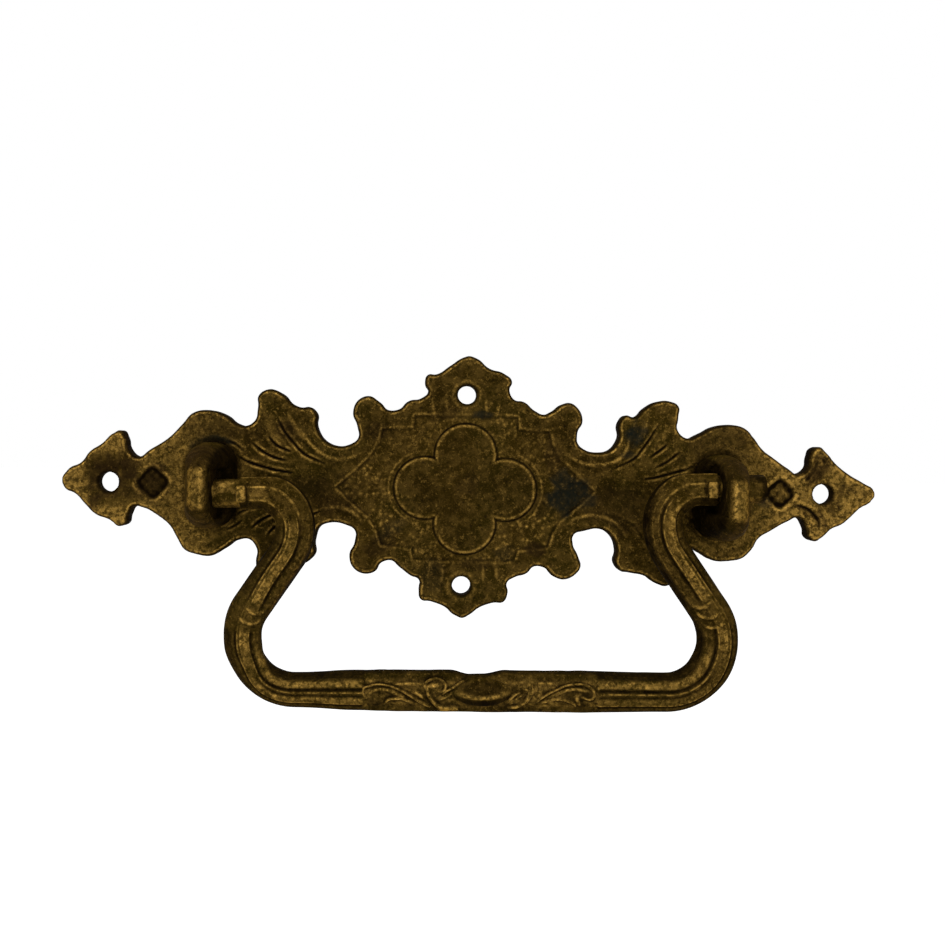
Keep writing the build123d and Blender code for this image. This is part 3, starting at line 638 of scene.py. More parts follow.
def bail_path():
    """Middle line of the bail in its own frame: places and headings, from the right pin's end to the left's."""
    corners = [(PIN_SPAN, 0), (27.95, 0), (27.95, -7.7), (36.1, -20.25), (36.1, -30.95)]
    corners += [(-36.1, -29.85), (-36.1, -19.15), (-27.95, -7.7), (-27.95, 0), (-PIN_SPAN, 0)]
    radii = [5.0, 8.1, 8.1, 8.0, 8.0, 7.52, 7.52, 5.0]
    corners = [np.array(c, float) for c in corners]
    places = [corners[0], np.array([SHOULDER_SPAN + 0.03, 0]), np.array([SHOULDER_SPAN - 0.03, 0])]
    for k, radius in enumerate(radii, 1):
        into = corners[k] - corners[k - 1]
        out = corners[k + 1] - corners[k]
        into, out = into / np.hypot(*into), out / np.hypot(*out)
        turn = math.atan2(into[0] * out[1] - into[1] * out[0], into @ out)
        reach = radius * math.tan(abs(turn) / 2)
        start = corners[k] - into * reach
        left = np.array([-into[1], into[0]]) * math.copysign(1, turn)
        for a in np.linspace(0, abs(turn), 40):
            places.append(start + radius * (math.sin(a) * into + (1 - math.cos(a)) * left))
    places += [np.array([0.03 - SHOULDER_SPAN, 0]), np.array([-SHOULDER_SPAN - 0.03, 0]), corners[-1]]
    fine = [places[0]]
    for a, b in zip(places, places[1:]):
        length = np.hypot(*(b - a))
        u, v = abs(a[0] + b[0]) / 2, (a[1] + b[1]) / 2
        if length > 12:
            step = 0.15
        elif u > 30 and -21.5 < v < -14.5:
            step = 0.13
        else:
            step = 0.3
        parts = max(1, round(length / step))
        fine += [a + (b - a) * (k + 1) / parts for k in range(parts) if length > 1e-6]
    thinned = [fine[0]]
    for place in fine[1:]:
        closed_in = min(abs(abs(place[0]) - SHOULDER_SPAN), abs(abs(thinned[-1][0]) - SHOULDER_SPAN)) < 0.05
        closed_in = closed_in and place[1] > -1
        u, v = abs(place[0]), place[1]
        carved = v < -27 and u < 19 or u > 30 and -21.5 < v < -14.5
        if closed_in or np.hypot(*(place - thinned[-1])) > (0.12 if carved else 0.27):
            thinned.append(place)
    fine = np.array(thinned)
    heading = np.gradient(fine, axis=0)
    heading /= np.hypot(*heading.T)[:, None]
    return fine, heading


def to_row(u, v, w):
    """A place of the bail's own frame, in the plate's frame."""
    cos, sin = math.cos(PIN_TILT), math.sin(PIN_TILT)
    return (
        (u + BAIL_SHIFT) * cos - v * sin,
        -PIN_HEIGHT - w,
        (u + BAIL_SHIFT) * sin + v * cos,
    )


# Front of the bail's reeded stretches across its width, from its inner to its outer side: a broad reed,
# a groove, a thin line, a hollow facet and a second thin line
REED_PROFILE = [
    (0.0, 0.0), (0.11, -0.12), (0.135, -0.24), (0.165, -0.04), (0.21, 0.06), (0.27, 0.1), (0.34, 0.06),
    (0.385, -0.04), (0.415, -0.4), (0.445, -0.5), (0.475, -0.34), (0.5, -0.06), (0.52, 0.0), (0.54, -0.12),
    (0.56, -0.26), (0.66, -0.36), (0.76, -0.26), (0.79, -0.08), (0.82, -0.02), (0.845, -0.12), (0.88, -0.36),
    (0.92, -0.2), (1.0, 0.0),
]


def lines_relief(x, z, spread=1.0):
    """Raised lines of the bail's carving at each place of its front, in millimetres."""
    relief = np.zeros(x.shape)
    for points, height, width in BAIL_LINES:
        line = smooth_line(points)
        low, top = line.min(axis=0) - 1.2, line.max(axis=0) + 1.2
        near = (x > low[0]) & (x < top[0]) & (z > low[1]) & (z < top[1])
        if not near.any():
            continue
        distance, share = line_distance(x[near], z[near], line)
        taper = np.clip(5 * share * (1.04 - share) + 0.15, 0, 1) ** 0.6
        ridge = height * taper * np.exp(-((distance / (spread * width * (0.5 + 0.5 * taper))) ** 2))
        relief[near] = np.maximum(relief[near], ridge)
    return relief


def smooth_wave(length, size, seed):
    """Smooth random numbers along a line of points, in about -1 to 1."""
    noise = np.random.default_rng(seed).normal(size=length + 6 * size)
    kernel = np.exp(-0.5 * (np.arange(-3 * size, 3 * size + 1) / size) ** 2)
    noise = np.convolve(noise, kernel, "valid")[:length]
    return noise / (2 * noise.std())


def bail_mesh():
    """Swept skin of the bail, with its reeds, curved bands, shoulders, lugs and the carving of its bar."""
    places, heading = bail_path()
    phi = np.concatenate([np.linspace(0, math.pi, 92, endpoint=False), np.linspace(math.pi, 2 * math.pi, 34, endpoint=False)])
    around = len(phi)
    count = len(places)
    u, v = places[:, 0][:, None], places[:, 1][:, None]
    cos, sin = np.cos(phi)[None, :], np.sin(phi)[None, :]
    reach = np.abs(u)
    drop = -v
    right = u > 0

    # Half widths on the inner and outer side, which vary along the casting
    on_bar = ease(drop, 26.5, 29.0)
    arm = ease(drop, 3.0, 6.0) * (1 - on_bar)
    half = 2.9 + 0.1 * arm + 0.22 * on_bar * (1 - ease(np.abs(u - 2), 15.0, 26.0))
    half = half + np.where(right, 0.12, -0.1) * ease(drop, 17, 21) * (1 - ease(drop, 27, 30.5))
    half = half - np.where(right, 0.0, 0.28) * ease(drop, 23, 26) * ease(-u, 20, 27)
    shoulder = ease(reach, 30.5, 33.0) * (1 - ease(drop, 0.5, 2.0))
    half = half * (1 - shoulder) + 2.5 * shoulder
    dip = ease(u, -4.6, -1.6) * (1 - ease(u, 0.4, 3.8)) * on_bar
    inner_half = half - 0.6 * dip
    front = 2.6 - 0.1 * shoulder
    back = 2.3
    lateral = np.where(cos > 0, inner_half, half) * cos
    depth = np.where(sin > 0, front, back) * sin

    # Eight-sided shoulders, and elbows with facets
    facet = (phi + math.pi / 8) % (math.pi / 4) - math.pi / 8
    octagon = 0.97 / np.cos(facet)[None, :]
    sharp = shoulder + 0.75 * ease(drop, 0.0, 1.0) * (1 - ease(drop, 6.5, 8.5)) + 0.5 * ease(reach, 27, 30) * (1 - shoulder) * (drop < 3)
    sharp = np.clip(sharp, 0, 1)
    lateral = lateral * (1 + (octagon - 1) * sharp)
    depth = depth * (1 + (octagon - 1) * sharp)

    # Patchy tones over the whole casting, coarse and fine
    chance = np.random.default_rng(31)
    blotch = blur(chance.normal(size=(count, around)), 5.0)
    blotch = np.clip(0.5 + blotch / (2.2 * blotch.std()), 0, 1)
    grain = blur(chance.normal(size=(count, around)), 1.6)
    grain = np.clip(0.5 + grain / (2.2 * grain.std()), 0, 1)

    # Reeds, which sit nearer to the inner side on the arms
    carved = (1 - ease(np.abs(u + 0.1), 17.3, 17.9)) * (drop > 27)
    band = ease(drop, 15.8, 16.6) * (1 - ease(drop, 20.2, 21.0)) * (reach > 26)
    begin = np.where(right, 1.0, 3.2)
    reeded = ease(drop - begin, 0.0, 2.2) * (1 - 0.75 * band) * (1 - carved)
    shift = np.where(right, 0.09, 0.14 + 0.11 * ease(drop, 12, 19)) * (1 - ease(drop, 25.5, 29.5))
    breadth = (1 - cos) / 2
    across = breadth + shift + 0.05 * ease(drop, 25.5, 29.5)
    facing = ease(sin, -0.05, 0.3)
    spots, values = np.array(REED_PROFILE).T
    profile = np.interp(across, spots, values)
    crest = np.exp(-(((across - 0.515) / 0.016) ** 2)) + np.exp(-(((across - 0.82) / 0.016) ** 2))
    broad = ease(across, 0.15, 0.19) * (1 - ease(across, 0.36, 0.41))
    valley = np.exp(-(((across - 0.447) / 0.042) ** 2)) + np.exp(-(((across - 0.887) / 0.042) ** 2))
    valley = valley + 0.8 * (1 - ease(across, 0.14, 0.24)) + 0.7 * ease(across, 0.93, 0.99)
    valley = valley + 0.8 * np.exp(-(((across - 0.615) / 0.04) ** 2)) * on_bar
    push = reeded * facing * profile
    on_arm = 1 - ease(drop, 23.0, 26.5)
    between = ease(across, 0.53, 0.56) * (1 - ease(across, 0.72, 0.77))
    second = np.exp(-(((across - 0.72) / 0.05) ** 2))
    bright = 0.5 * broad * ease(across, 0.2, 0.26) * (1 - on_arm) + 0.12 * broad * on_arm
    low_arm = ease(drop, 9.0, 13.0)
    bright = bright + (0.28 + 0.3 * low_arm) * between * on_arm + np.where(right, 0.25, 0.85) * second * on_bar
    # Thin bright lines on the crests and edges of the reeds: wear, with painted highlights
    edges = np.exp(-(((across - 0.74) / 0.016) ** 2)) + 0.5 * np.exp(-(((across - 0.25) / 0.014) ** 2))
    crest = crest + 0.9 * edges * on_arm
    wear_highlight = reeded * facing * (1.1 * crest + bright * (0.5 + 0.7 * grain) + 0.1)
    # Dark grooves and hollow facets: dirt, with painted shade
    dirt_shade = reeded * facing * np.clip(1.1 * valley + np.where(right, 0.4, 0.3) * on_arm * broad, 0, 1)

    # Flat, slightly hollow front of the bar where it is carved, with its raised lines
    push = push - 0.42 * carved * facing * (1 - ease(breadth, 0.86, 0.95)) * ease(breadth, 0.04, 0.12)
    side_u = heading[:, 1][:, None]
    side_v = -heading[:, 0][:, None]
    pu, pv = u + lateral * side_u, v + lateral * side_v
    seen = VIEW_REACH / (VIEW_REACH + BAIL_FACE - depth)
    seen_u = EYE_U + (pu - EYE_U) * seen
    seen_v = EYE_V + (pv - EYE_V) * seen
    lines = lines_relief(seen_u, seen_v)
    top = np.clip(1 - ((seen_u - 0.15) / 4.5) ** 2 - ((seen_v + 30.0) / 2.25) ** 2, 0, 1) ** 0.5
    bowl_rim = np.hypot((seen_u - 0.2) / 3.6, (seen_v + 29.4) / 1.3)
    bowl = np.clip(1 - bowl_rim**2, 0, 1) ** 0.5
    beside = np.clip(lines_relief(seen_u, seen_v, 2.8) - 1.5 * lines, 0, 1)
    lip = np.exp(-(((bowl_rim - 1.05) / 0.17) ** 2)) * ease(-29.5 - seen_v, 0.1, 0.9)
    lip = lip * (1 - 0.6 * ease(np.abs(seen_u), 1.8, 3.4))
    under = ease(bowl_rim, 1.2, 1.4) * ease(-30.0 - seen_v, 0.2, 0.8) * ease(top, 0.0, 0.2)
    relief = np.maximum(lines, 0.75 * top - 0.4 * bowl + 0.15 * lip) - 0.3 * beside * carved
    relief = relief * facing * (1 - ease(breadth, 0.84, 0.95) * on_bar)
    push = push + relief
    open_ground = carved * facing * (1 - ease(lines, 0.06, 0.2)) * (1 - ease(top, 0.0, 0.3))
    middle = 1 - ease(np.abs(breadth - 0.5), 0.3, 0.42)
    outside = 1 - ease(top, 0.0, 0.3)
    # The cabochon's lower lip gets a painted highlight; the raised lines and the middle of the ground are worn bright
    wear_highlight = wear_highlight + carved * facing * (1.2 * ease(lines, 0.14, 0.3) + 1.2 * lip + (0.1 + 0.5 * blotch + 0.4 * grain) * middle * outside)
    wear_highlight = wear_highlight + band * facing * ease(lines, 0.08, 0.2)
    # Painted shade in the open ground, in the cabochon's hollow, beside the raised lines and under the cabochon
    dirt_shade = dirt_shade + 0.35 * open_ground * (1 - blotch) + 0.55 * carved * ease(bowl, 0.1, 0.8) * facing
    dirt_shade = dirt_shade + carved * facing * (2.6 * beside + 0.9 * under) + band * facing * 2.0 * beside
    # Dark ground between the leaves: dirt, with painted shade
    leaf_ground = np.exp(-(((seen_u + 16) / 1.0) ** 2) - (((seen_v + 31.6) / 0.7) ** 2))
    leaf_ground = leaf_ground + np.exp(-(((seen_u - 15.8) / 0.7) ** 2) - (((seen_v + 30.45) / 0.35) ** 2))
    leaf_ground = leaf_ground + np.exp(-(((seen_u - 0.2) / 3.4) ** 2) - (((seen_v + 32.0) / 0.45) ** 2))
    dirt_shade = dirt_shade + carved * facing * np.clip(leaf_ground, 0, 1)

    # Bevels of the eight-sided stretches: painted highlights on the ridges between them, brighter front facets on the
    # shoulders, and painted shade on one side of the shoulders
    corner = np.exp(-(((np.abs(facet)[None, :] - math.pi / 8) / 0.06) ** 2)) * sharp * facing
    wear_highlight = wear_highlight + 0.8 * corner + np.where(right, 0.15, 0.35) * shoulder * (np.abs(cos) < 0.4) * (sin > 0)
    dirt_shade = dirt_shade + 0.7 * sharp * ease(cos * np.where(drop < 2, 1, 0) * np.where(v > -2, -1, 1), 0.35, 0.7)

    # Painted shadow: dark lines in the gaps beside the lugs
    lug = np.abs(u + 0.4 - np.where(right, 0.8, -0.8) + np.where(right, -1, 1) * SHOULDER_SPAN + np.where(right, 1.6, -1.6))
    gap = np.exp(-(((lug - 0.96) / 0.2) ** 2)) * (np.abs(lateral) < 1.6) * (sin > 0) * (drop < 1)
    dirt_shade = dirt_shade + 1.1 * gap

    # Uneven casting
    wobble = smooth_wave(count, 14, 41)[:, None] * 0.05 + smooth_wave(count, 5, 43)[:, None] * 0.02
    push = push + wobble + 0.03 * (blotch - 0.5)
    normal_a = cos / half
    normal_b = np.where(sin > 0, sin / front, sin / back)
    length = np.hypot(normal_a, normal_b)
    lateral = lateral + push * normal_a / length
    depth = depth + push * normal_b / length

    # Painted shade on the undersides and sides
    dirt_shade = dirt_shade + (1 - facing) * 0.7 + 0.5 * ease(np.abs(cos), 0.86, 0.99) * (1 - shoulder)

    on_pin = (reach > SHOULDER_SPAN) & (drop < 1)
    pin_wave = 1 - 0.02 * (1 + np.sin(5 * phi + 1))[None, :]
    lateral = np.where(on_pin, PIN_RADIUS * cos * pin_wave, lateral)
    depth = np.where(on_pin, PIN_RADIUS * sin * pin_wave, depth)
    stub = on_pin & (reach > 40)
    # Pins: fronts worn bright; painted shade on the right pin's upper side, the left pin's lower side and the ends of
    # the stubs
    wear_highlight = np.where(on_pin, np.where(right, 0.6, 1.3) * facing * blotch, wear_highlight)
    upper = ease(cos * np.sign(u), 0.35, 0.75)
    dirt_shade = np.where(on_pin, np.where(right, 0.2, 0.0) + np.where(right, 0.8, 0.4) * upper, dirt_shade)
    dirt_shade = np.where(stub, np.maximum(dirt_shade, ease(reach, 42.3, 42.7)), dirt_shade)
    pu, pv = u + lateral * side_u, v + lateral * side_v
    points = np.stack(np.broadcast_arrays(*to_row(pu, pv, depth)), axis=-1)
    lowest = cad_box[0][2] / MM + 0.01
    points[..., 2] = np.maximum(points[..., 2], lowest)

    faces = []
    for k in range(count - 1):
        for j in range(around):
            n = (j + 1) % around
            faces.append((k * around + j, k * around + n, (k + 1) * around + n, (k + 1) * around + j))
    points = points.reshape(-1, 3).tolist()
    flat = [np.broadcast_to(np.clip(m, 0, 1), (count, around)).reshape(-1) for m in (wear_highlight, dirt_shade)]
    marks = [(a, b, 0.0, 0.0) for a, b in zip(*flat)]
    for first in (0, (count - 1) * around):
        ring = list(range(first, first + around))
        middle = len(points)
        points.append(tuple(np.mean([points[r] for r in ring], axis=0)))
        marks.append((0.2, 0.4, 0.0, 0.0))
        for j in range(around):
            a, b = ring[j], ring[(j + 1) % around]
            faces.append((middle, a, b) if first else (middle, b, a))

    # Lugs: small bevelled blocks on the fronts of the shoulders
    for side in (-1, 1):
        add_block(points, faces, marks, side)
    return points, faces, marks


def add_block(points, faces, marks, side):
    """Adds one lug to the bail's lists: a block with bevelled edges, on a shoulder's front."""
    middle = side * (SHOULDER_SPAN - 0.8) - 0.4
    levels = [(0.78, 1.28, 1.2), (0.78, 1.28, 2.75), (0.72, 1.2, 3.0), (0.56, 1.02, 3.17), (0.3, 0.6, 3.19)]
    rings = []
    for half_u, half_v, w in levels:
        ring = []
        for a in np.linspace(0, 2 * math.pi, 32, endpoint=False):
            c, s = math.cos(a), math.sin(a)
            c, s = math.copysign(abs(c) ** 0.35, c), math.copysign(abs(s) ** 0.35, s)
            ring.append(len(points))
            points.append(to_row(middle + half_u * c * side, half_v * s, w))
            # Lug tops worn bright; painted shade on their sides
            marks.append((1.0 if w > 2.9 else 0.1, 0.0 if w > 2.9 else 0.8, 0.0, 0.0))
        rings.append(ring)
    for low, high in zip(rings, rings[1:]):
        for k in range(32):
            n = (k + 1) % 32
            quad = (low[k], low[n], high[n], high[k])
            faces.append(quad if side > 0 else quad[::-1])
    cap = rings[-1] if side > 0 else rings[-1][::-1]
    faces.append(tuple(cap))


# Posts

def soft_min(a, b, radius):
    """The lower of two fields, rounded where they cross."""
    blend = np.clip(0.5 + 0.5 * (b - a) / radius, 0, 1)
    return b * (1 - blend) + a * blend - radius * blend * (1 - blend)


# Levels of a post, as shares: of its rise, of its foot's flare and of its half height
POST_LEVELS = [(0.0, 1.0, 1.0), (0.3, 0.82, 0.985), (0.55, 0.58, 0.9), (0.75, 0.34, 0.765), (0.9, 0.13, 0.58),
               (1.0, -0.1, 0.38)]


def post_field(side, x, h, z):
    """Signed distance into a post, in about millimetres, positive inside. h is the height off the drawer."""
    share = (h - POCKET_FLOOR) / (POST_TOP - POCKET_FLOOR)
    spots, flares, talls = np.array(POST_LEVELS).T
    flare = np.mean([np.interp(share + d, spots, flares) for d in (-0.05, 0, 0.05)], axis=0)
    tall = np.mean([np.interp(share + d, spots, talls) for d in (-0.05, 0, 0.05)], axis=0)
    inner = POST_INNER_X - 1.75 * flare
    outer = POST_INNER_X + 2.7 + 3.4 * flare
    half = (outer - inner) / 2
    radius = 0.95 * half
    across = np.abs(x * side - (inner + outer) / 2) - (half - radius)
    up = np.abs(z - POST_Z[side]) - (6.8 * tall - radius)
    body = radius - np.hypot(np.maximum(across, 0), np.maximum(up, 0)) - np.minimum(np.maximum(across, up), 0)
    body = soft_min(body, POST_TOP - h, 1.1)
    body = np.minimum(body, h - POCKET_FLOOR)

    # Hollow round the end of the bail's shoulder, and bore for its pin
    off_axis = z * math.cos(PIN_TILT) - x * math.sin(PIN_TILT)
    to_axis = np.hypot(off_axis, h - PIN_HEIGHT)
    hollow = np.minimum(to_axis - 3.7, np.maximum(np.abs(off_axis) - 3.7, PIN_HEIGHT - h))
    hollow = np.maximum(hollow, x * side - POST_INNER_X)
    body = soft_min(body, hollow, 1.0)
    body = np.minimum(body, to_axis - PIN_RADIUS - 0.08)

    # Shank with its spread tail, flush with the back of the plate
    stem = np.interp(h, [0, TAIL_DEPTH, 2.0], [2.8, 2.0, 2.0]) - np.hypot(x - side * POST_X, z - POST_Z[side])
    stem = np.minimum(np.minimum(stem, h), 3 - h)
    return np.maximum(body, stem)


def surface_net(field, starts, step):
    """Quads of the surface where a sampled field passes zero, one point in each cell that it crosses."""
    inside = field > 0
    shape = tuple(n - 1 for n in field.shape)
    total = np.zeros(shape + (3,))
    hits = np.zeros(shape)
    for axis in range(3):
        near = [slice(None)] * 3
        far = [slice(None)] * 3
        near[axis], far[axis] = slice(None, -1), slice(1, None)
        a, b = field[tuple(near)], field[tuple(far)]
        crossed = inside[tuple(near)] != inside[tuple(far)]
        t = np.where(crossed, a / np.where(crossed, a - b, 1), 0)
        others = [k for k in range(3) if k != axis]
        for i in (0, 1):
            for k in (0, 1):
                part = [slice(None)] * 3
                part[others[0]] = slice(i, i + shape[others[0]])
                part[others[1]] = slice(k, k + shape[others[1]])
                on = crossed[tuple(part)]
                hits += on
                total[..., axis] += t[tuple(part)]
                total[..., others[0]] += on * i
                total[..., others[1]] += on * k
    cells = np.argwhere(hits > 0)
    number = -np.ones(shape, int)
    number[tuple(cells.T)] = np.arange(len(cells))
    points = cells + total[tuple(cells.T)] / hits[tuple(cells.T)][:, None]
    points = points * step + np.array(starts)
    faces = []
    for axis in range(3):
        near = [slice(None)] * 3
        far = [slice(None)] * 3
        near[axis], far[axis] = slice(None, -1), slice(1, None)
        crossed = inside[tuple(near)] != inside[tuple(far)]
        one, two = [(1, 2), (2, 0), (0, 1)][axis]
        for place in np.argwhere(crossed):
            corners = []
            for i, k in ((-1, -1), (0, -1), (0, 0), (-1, 0)):
                cell = place.copy()
                cell[one] += i
                cell[two] += k
                corners.append(int(number[tuple(cell)]))
            if not inside[tuple(place)]:
                corners.reverse()
            faces.append(tuple(corners))
    return points, faces


def post_mesh(side):
    """Skin of one post, with how worn or painted with highlights, how dark with painted shade, and how browned each
    place is.
    """
    step = 0.2
    starts = (36.0 if side > 0 else -44.8, -0.35, -8.1)
    counts = (45, 79, 80)
    x, h, z = np.meshgrid(*[s + step * np.arange(n) for s, n in zip(starts, counts)], indexing="ij")
    field = post_field(side, x, h, z)
    field += 0.05 * np.sin(x * 1.9 + z * 1.3 + side) * np.sin(h * 1.6 + z * 0.7) * (h > 3) * (h < 14)
    points, faces = surface_net(field, starts, step)
    px, ph, pz = points.T
    up = pz - POST_Z[side]
    outward = px * side - POST_INNER_X
    off_axis = pz * math.cos(PIN_TILT) - px * math.sin(PIN_TILT)
    to_axis = np.hypot(off_axis, ph - PIN_HEIGHT)
    pocket = (to_axis < 3.95) & (outward < 0.1)
    slot = (np.abs(off_axis) < 3.9) & (ph > PIN_HEIGHT) & (outward < 0.1)
    # Painted shadow: the hollow round the pin and the slot above it are fully dark
    dirt_shade = np.where(pocket | slot, 1.0, 0.0)
    # Painted shade on the post's inner face, and low down near the plate, less on its lower side
    dirt_shade = np.maximum(dirt_shade, 1 - ease(outward, -0.3, 0.5))
    dirt_shade = np.maximum(dirt_shade, 0.8 * (1 - ease(ph, 2.2, 4.6)) * (1 - 0.75 * ease(-up, 2.5, 4.5)))
    # The front face is worn bright; the brighter bands along its two edges and round the hollow's rim are painted
    # highlights
    crown = ease(ph, 13.2, 14.4) * (1 - ease(np.abs(up), 2.6, 3.6))
    ring = np.exp(-(((np.hypot(off_axis, ph - PIN_HEIGHT) - 4.15) / 0.3) ** 2)) * (outward < 0.3)
    sides = np.exp(-(((outward - 0.75) / 0.35) ** 2)) + 0.7 * np.exp(-(((outward - 2.5) / 0.3) ** 2))
    wear_highlight = np.clip(crown * (0.45 + 0.6 * sides) + 0.3 * ring * (ph > 6), 0, 1)
    brown = ease(ph, 5.0, 9.0) * ease(np.abs(up), 2.0, 3.8) * 0.6 * (1 - 0.6 * ease(-up, 2.5, 4.5))
    marks = list(zip(wear_highlight, dirt_shade, brown, np.zeros(len(points))))
    points = [(a, -b, c) for a, b, c in points]
    return points, [f[::-1] for f in faces], marks


# Materials

def brass(name, gold, brown, dark, seed):
    """Old brass: mottled brown patina, gold where it is worn and in painted highlights and glints, dirt and painted
    shade in its hollows and on its shaded sides.
    """
    material = bpy.data.materials.new(name)
    material.use_nodes = True
    nodes, links = material.node_tree.nodes, material.node_tree.links
    shader = nodes["Principled BSDF"]
    where = nodes.new("ShaderNodeTexCoord")

    def noise(scale, detail=4.0, rough=0.6, shift=0.0):
        move = nodes.new("ShaderNodeMapping")
        move.inputs["Location"].default_value = (seed + shift, shift * 0.7, seed * 0.3)
        links.new(where.outputs["Object"], move.inputs["Vector"])
        node = nodes.new("ShaderNodeTexNoise")
        node.inputs["Scale"].default_value = scale
        node.inputs["Detail"].default_value = detail
        node.inputs["Roughness"].default_value = rough
        links.new(move.outputs["Vector"], node.inputs["Vector"])
        return node.outputs["Fac"]

    def remap(value, low, high, to_low=0.0, to_high=1.0):
        node = nodes.new("ShaderNodeMapRange")
        node.inputs["From Min"].default_value = low
        node.inputs["From Max"].default_value = high
        node.inputs["To Min"].default_value = to_low
        node.inputs["To Max"].default_value = to_high
        links.new(value, node.inputs["Value"])
        return node.outputs["Result"]

    def mix(share, first, second):
        node = nodes.new("ShaderNodeMix")
        node.data_type = "RGBA"
        for socket, value in ((node.inputs[0], share), (node.inputs[6], first), (node.inputs[7], second)):
            if isinstance(value, tuple):
                socket.default_value = (*value, 1.0)
            else:
                links.new(value, socket)
        return node.outputs[2]

    def times(first, second):
        node = nodes.new("ShaderNodeMath")
        node.operation = "MULTIPLY"
        node.use_clamp = True
        for socket, value in ((node.inputs[0], first), (node.inputs[1], second)):
            if isinstance(value, (int, float)):
                socket.default_value = value
            else:
                links.new(value, socket)
        return node.outputs[0]

    def attribute(key):
        node = nodes.new("ShaderNodeAttribute")
        node.attribute_name = key
        return node.outputs["Fac"]

    wear_highlight, dirt_shade, stain, grey = (attribute(key) for key in MARKS)
    cloud = remap(noise(150, 5, 0.62), 0.4, 0.6)
    olive = remap(noise(90, 3, 0.5, 1.7), 0.42, 0.6)
    mottle = remap(noise(700, 5, 0.7, 3.1), 0.44, 0.62)
    speck = remap(noise(1900, 4, 0.7, 7.7), 0.57, 0.66)
    fleck_glint = remap(noise(3800, 3, 0.7, 6.6), 0.54, 0.64)
    pit = remap(noise(1300, 3, 0.65, 8.8), 0.58, 0.7)
    colour = mix(cloud, brown, tuple(0.6 * c for c in brown))
    colour = mix(times(olive, 0.6), colour, tuple(c * f for c, f in zip(brown, (0.75, 0.92, 0.8))))
    colour = mix(times(mottle, 0.4), colour, tuple(0.5 * c for c in gold))
    colour = mix(times(fleck_glint, 0.3), colour, tuple(0.6 * c for c in gold))
    colour = mix(times(speck, 0.5), colour, gold)
    # Gold where the metal is worn and where highlights are painted
    shine = times(wear_highlight, remap(noise(1300, 5, 0.7, 5.0), 0.44, 0.56, 0.12, 1.0))
    colour = mix(shine, colour, gold)
    # Painted glints: specks brighter than the gold where worn places and flecks meet
    colour = mix(times(shine, times(fleck_glint, 0.8)), colour, tuple(1.7 * c for c in gold))
    colour = mix(times(stain, remap(noise(700, 5, 0.7, 2.2), 0.35, 0.62, 0.97, 0.6)), colour, RUST)
    colour = mix(times(grey, remap(noise(900, 5, 0.7, 6.2), 0.35, 0.62, 1.0, 0.65)), colour, SLATE)
    colour = mix(times(pit, 0.7), colour, dark)
    # Darkening: dirt in the hollows, and painted shade in hollows, gaps, cavities, undersides and on shaded sides
    dirt_shade_amount = times(dirt_shade, remap(noise(450, 4, 0.6, 9.0), 0.32, 0.62, 1.0, 0.7))
    colour = mix(dirt_shade_amount, colour, dark)
    links.new(colour, shader.inputs["Base Color"])
    bare = remap(dirt_shade_amount, 0, 1, 1.0, 0.0)
    links.new(times(bare, remap(shine, 0, 1, 0.3, 0.85)), shader.inputs["Metallic"])
    links.new(remap(shine, 0, 1, 0.55, 0.32), shader.inputs["Roughness"])
    shader.inputs["IOR"].default_value = 1.03
    shader.inputs["Specular Tint"].default_value = (0.4, 0.3, 0.12, 1.0)
    bump = nodes.new("ShaderNodeBump")
    bump.inputs["Strength"].default_value = 0.9
    bump.inputs["Distance"].default_value = 0.00025
    links.new(noise(1100, 7, 0.75, 11.0), bump.inputs["Height"])
    links.new(bump.outputs["Normal"], shader.inputs["Normal"])
    return material


MARKS = ("wear_highlight", "dirt_shade", "stain", "grey")
GOLD = (0.25, 0.145, 0.03)
BROWN = (0.028, 0.0165, 0.0019)
DARK = (0.005, 0.0028, 0.001)
RUST = (0.016, 0.0085, 0.003)
SLATE = (0.0065, 0.0085, 0.0065)
finishes = {
    "plate_brass": brass("plate_finish", GOLD, BROWN, DARK, 1.0),
    "bail_brass": brass("bail_finish", GOLD, BROWN, DARK, 4.0),
    "post_brass": brass("post_finish", GOLD, BROWN, DARK, 8.0),
}

castings = [
    ("backplate_casting", plate_mesh(), "pull", "plate_brass", "backplate"),
    ("bail_casting", bail_mesh(), "bail", "bail_brass", "bail"),
    ("left_post_casting", post_mesh(-1), "pull", "post_brass", "left_post"),
    ("right_post_casting", post_mesh(1), "pull", "post_brass", "right_post"),
]
for name, (points, faces, marks), body, slot, node in castings:
    piece = mesh_object(name, points, faces, body, finishes[slot], dict(zip(MARKS, zip(*marks))))
    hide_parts(node)


# Stage

def pale(name, colour):
    """Plain pale finish that reads as white where nothing shades it."""
    material = bpy.data.materials.new(name)
    material.use_nodes = True
    nodes, links = material.node_tree.nodes, material.node_tree.links
    shader = nodes["Principled BSDF"]
    shader.inputs["Base Color"].default_value = colour
    shader.inputs["Roughness"].default_value = 0.9
    path = nodes.new("ShaderNodeLightPath")
    seen = nodes.new("ShaderNodeMath")
    seen.operation = "MAXIMUM"
    links.new(path.outputs["Is Camera Ray"], seen.inputs[0])
    links.new(path.outputs["Is Glossy Ray"], seen.inputs[1])
    glow = nodes.new("ShaderNodeMath")
    glow.operation = "MULTIPLY"
    glow.inputs[1].default_value = 0.72
    links.new(seen.outputs[0], glow.inputs[0])
    shader.inputs["Emission Color"].default_value = (1, 1, 1, 1)
    links.new(glow.outputs[0], shader.inputs["Emission Strength"])
    return material


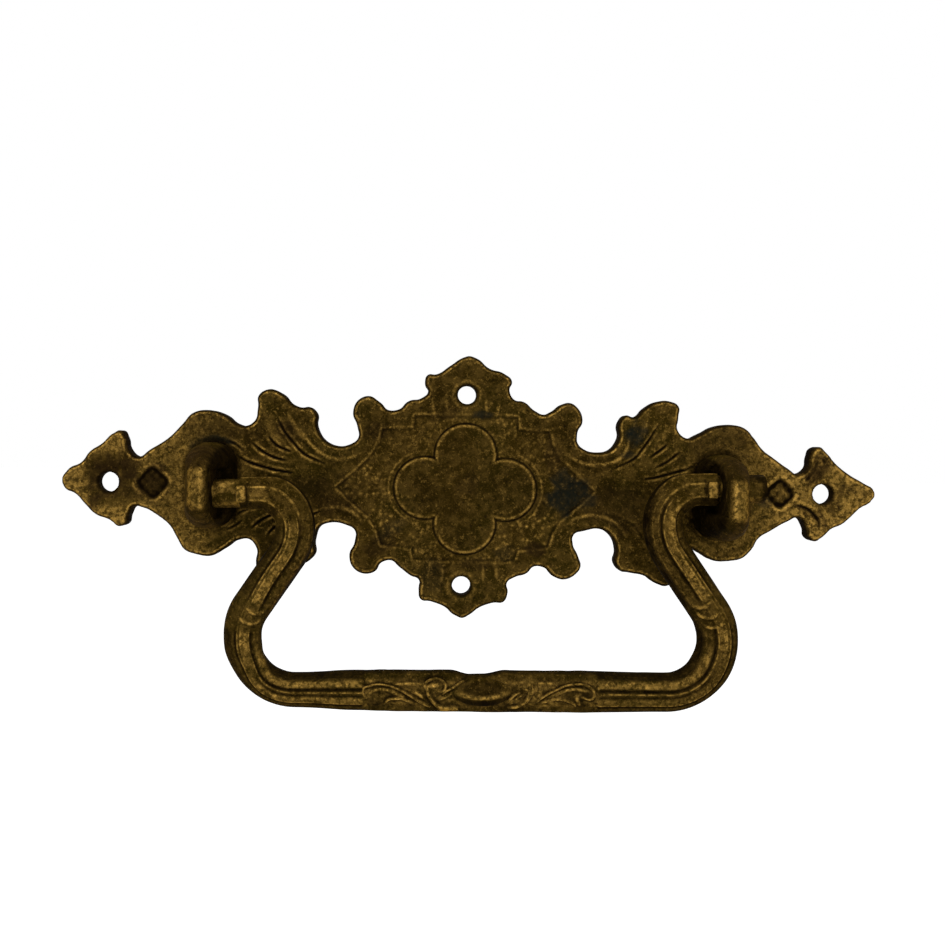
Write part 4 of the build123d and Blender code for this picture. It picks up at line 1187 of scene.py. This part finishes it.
floor_mesh = bpy.data.meshes.new("floor")
floor_mesh.from_pydata([(-3, -3, -0.1), (3, -3, -0.1), (3, 3, -0.1), (-3, 3, -0.1)], [], [(0, 1, 2, 3)])
floor_mesh.materials.append(pale("floor_white", (0.85, 0.85, 0.85, 1)))
floor = bpy.data.objects.new("floor", floor_mesh)
bpy.context.scene.collection.objects.link(floor)

world = bpy.data.worlds.new("studio")
bpy.context.scene.world = world
world.use_nodes = True
nodes, links = world.node_tree.nodes, world.node_tree.links
background = nodes["Background"]
background.inputs["Color"].default_value = (1, 1, 1, 1)
path = nodes.new("ShaderNodeLightPath")
seen = nodes.new("ShaderNodeMath")
seen.operation = "MAXIMUM"
links.new(path.outputs["Is Camera Ray"], seen.inputs[0])
links.new(path.outputs["Is Glossy Ray"], seen.inputs[1])
also = nodes.new("ShaderNodeMath")
also.operation = "MAXIMUM"
links.new(seen.outputs[0], also.inputs[0])
links.new(path.outputs["Is Transmission Ray"], also.inputs[1])
level = nodes.new("ShaderNodeMapRange")
level.inputs["To Min"].default_value = 0.3
level.inputs["To Max"].default_value = 1.0
links.new(also.outputs[0], level.inputs["Value"])
links.new(level.outputs["Result"], background.inputs["Strength"])


def lamp(name, place, target, size, power):
    """Square soft lamp at a place, turned to a target."""
    light = bpy.data.lights.new(name, "AREA")
    light.size = size
    light.energy = power
    piece = bpy.data.objects.new(name, light)
    piece.location = place
    piece.rotation_euler = (Vector(target) - Vector(place)).to_track_quat("-Z", "Y").to_euler()
    bpy.context.scene.collection.objects.link(piece)


lamp("key", (-0.2, -0.48, 0.5), (0, 0, 0), 0.3, 2.9)
lamp("fill", (0.35, -0.62, 0.1), (0, 0, 0), 0.4, 1.1)

camera_data = bpy.data.cameras.new("camera")
camera_data.sensor_width = 36.0
camera_data.lens = 33.65
camera_data.shift_x = 40.1 / 945
camera_data.clip_start = 0.005
camera = bpy.data.objects.new("camera", camera_data)
camera.location = (-5.33 * MM, -143 * MM, 6.94 * MM)
camera.rotation_euler = Euler((math.radians(90), 0, 0))
camera_data.shift_y = -27.5 / 945
camera.rotation_euler.rotate_axis("Z", math.radians(1.0))
bpy.context.scene.collection.objects.link(camera)
bpy.context.scene.camera = camera
bpy.context.scene.view_settings.view_transform = "Standard"
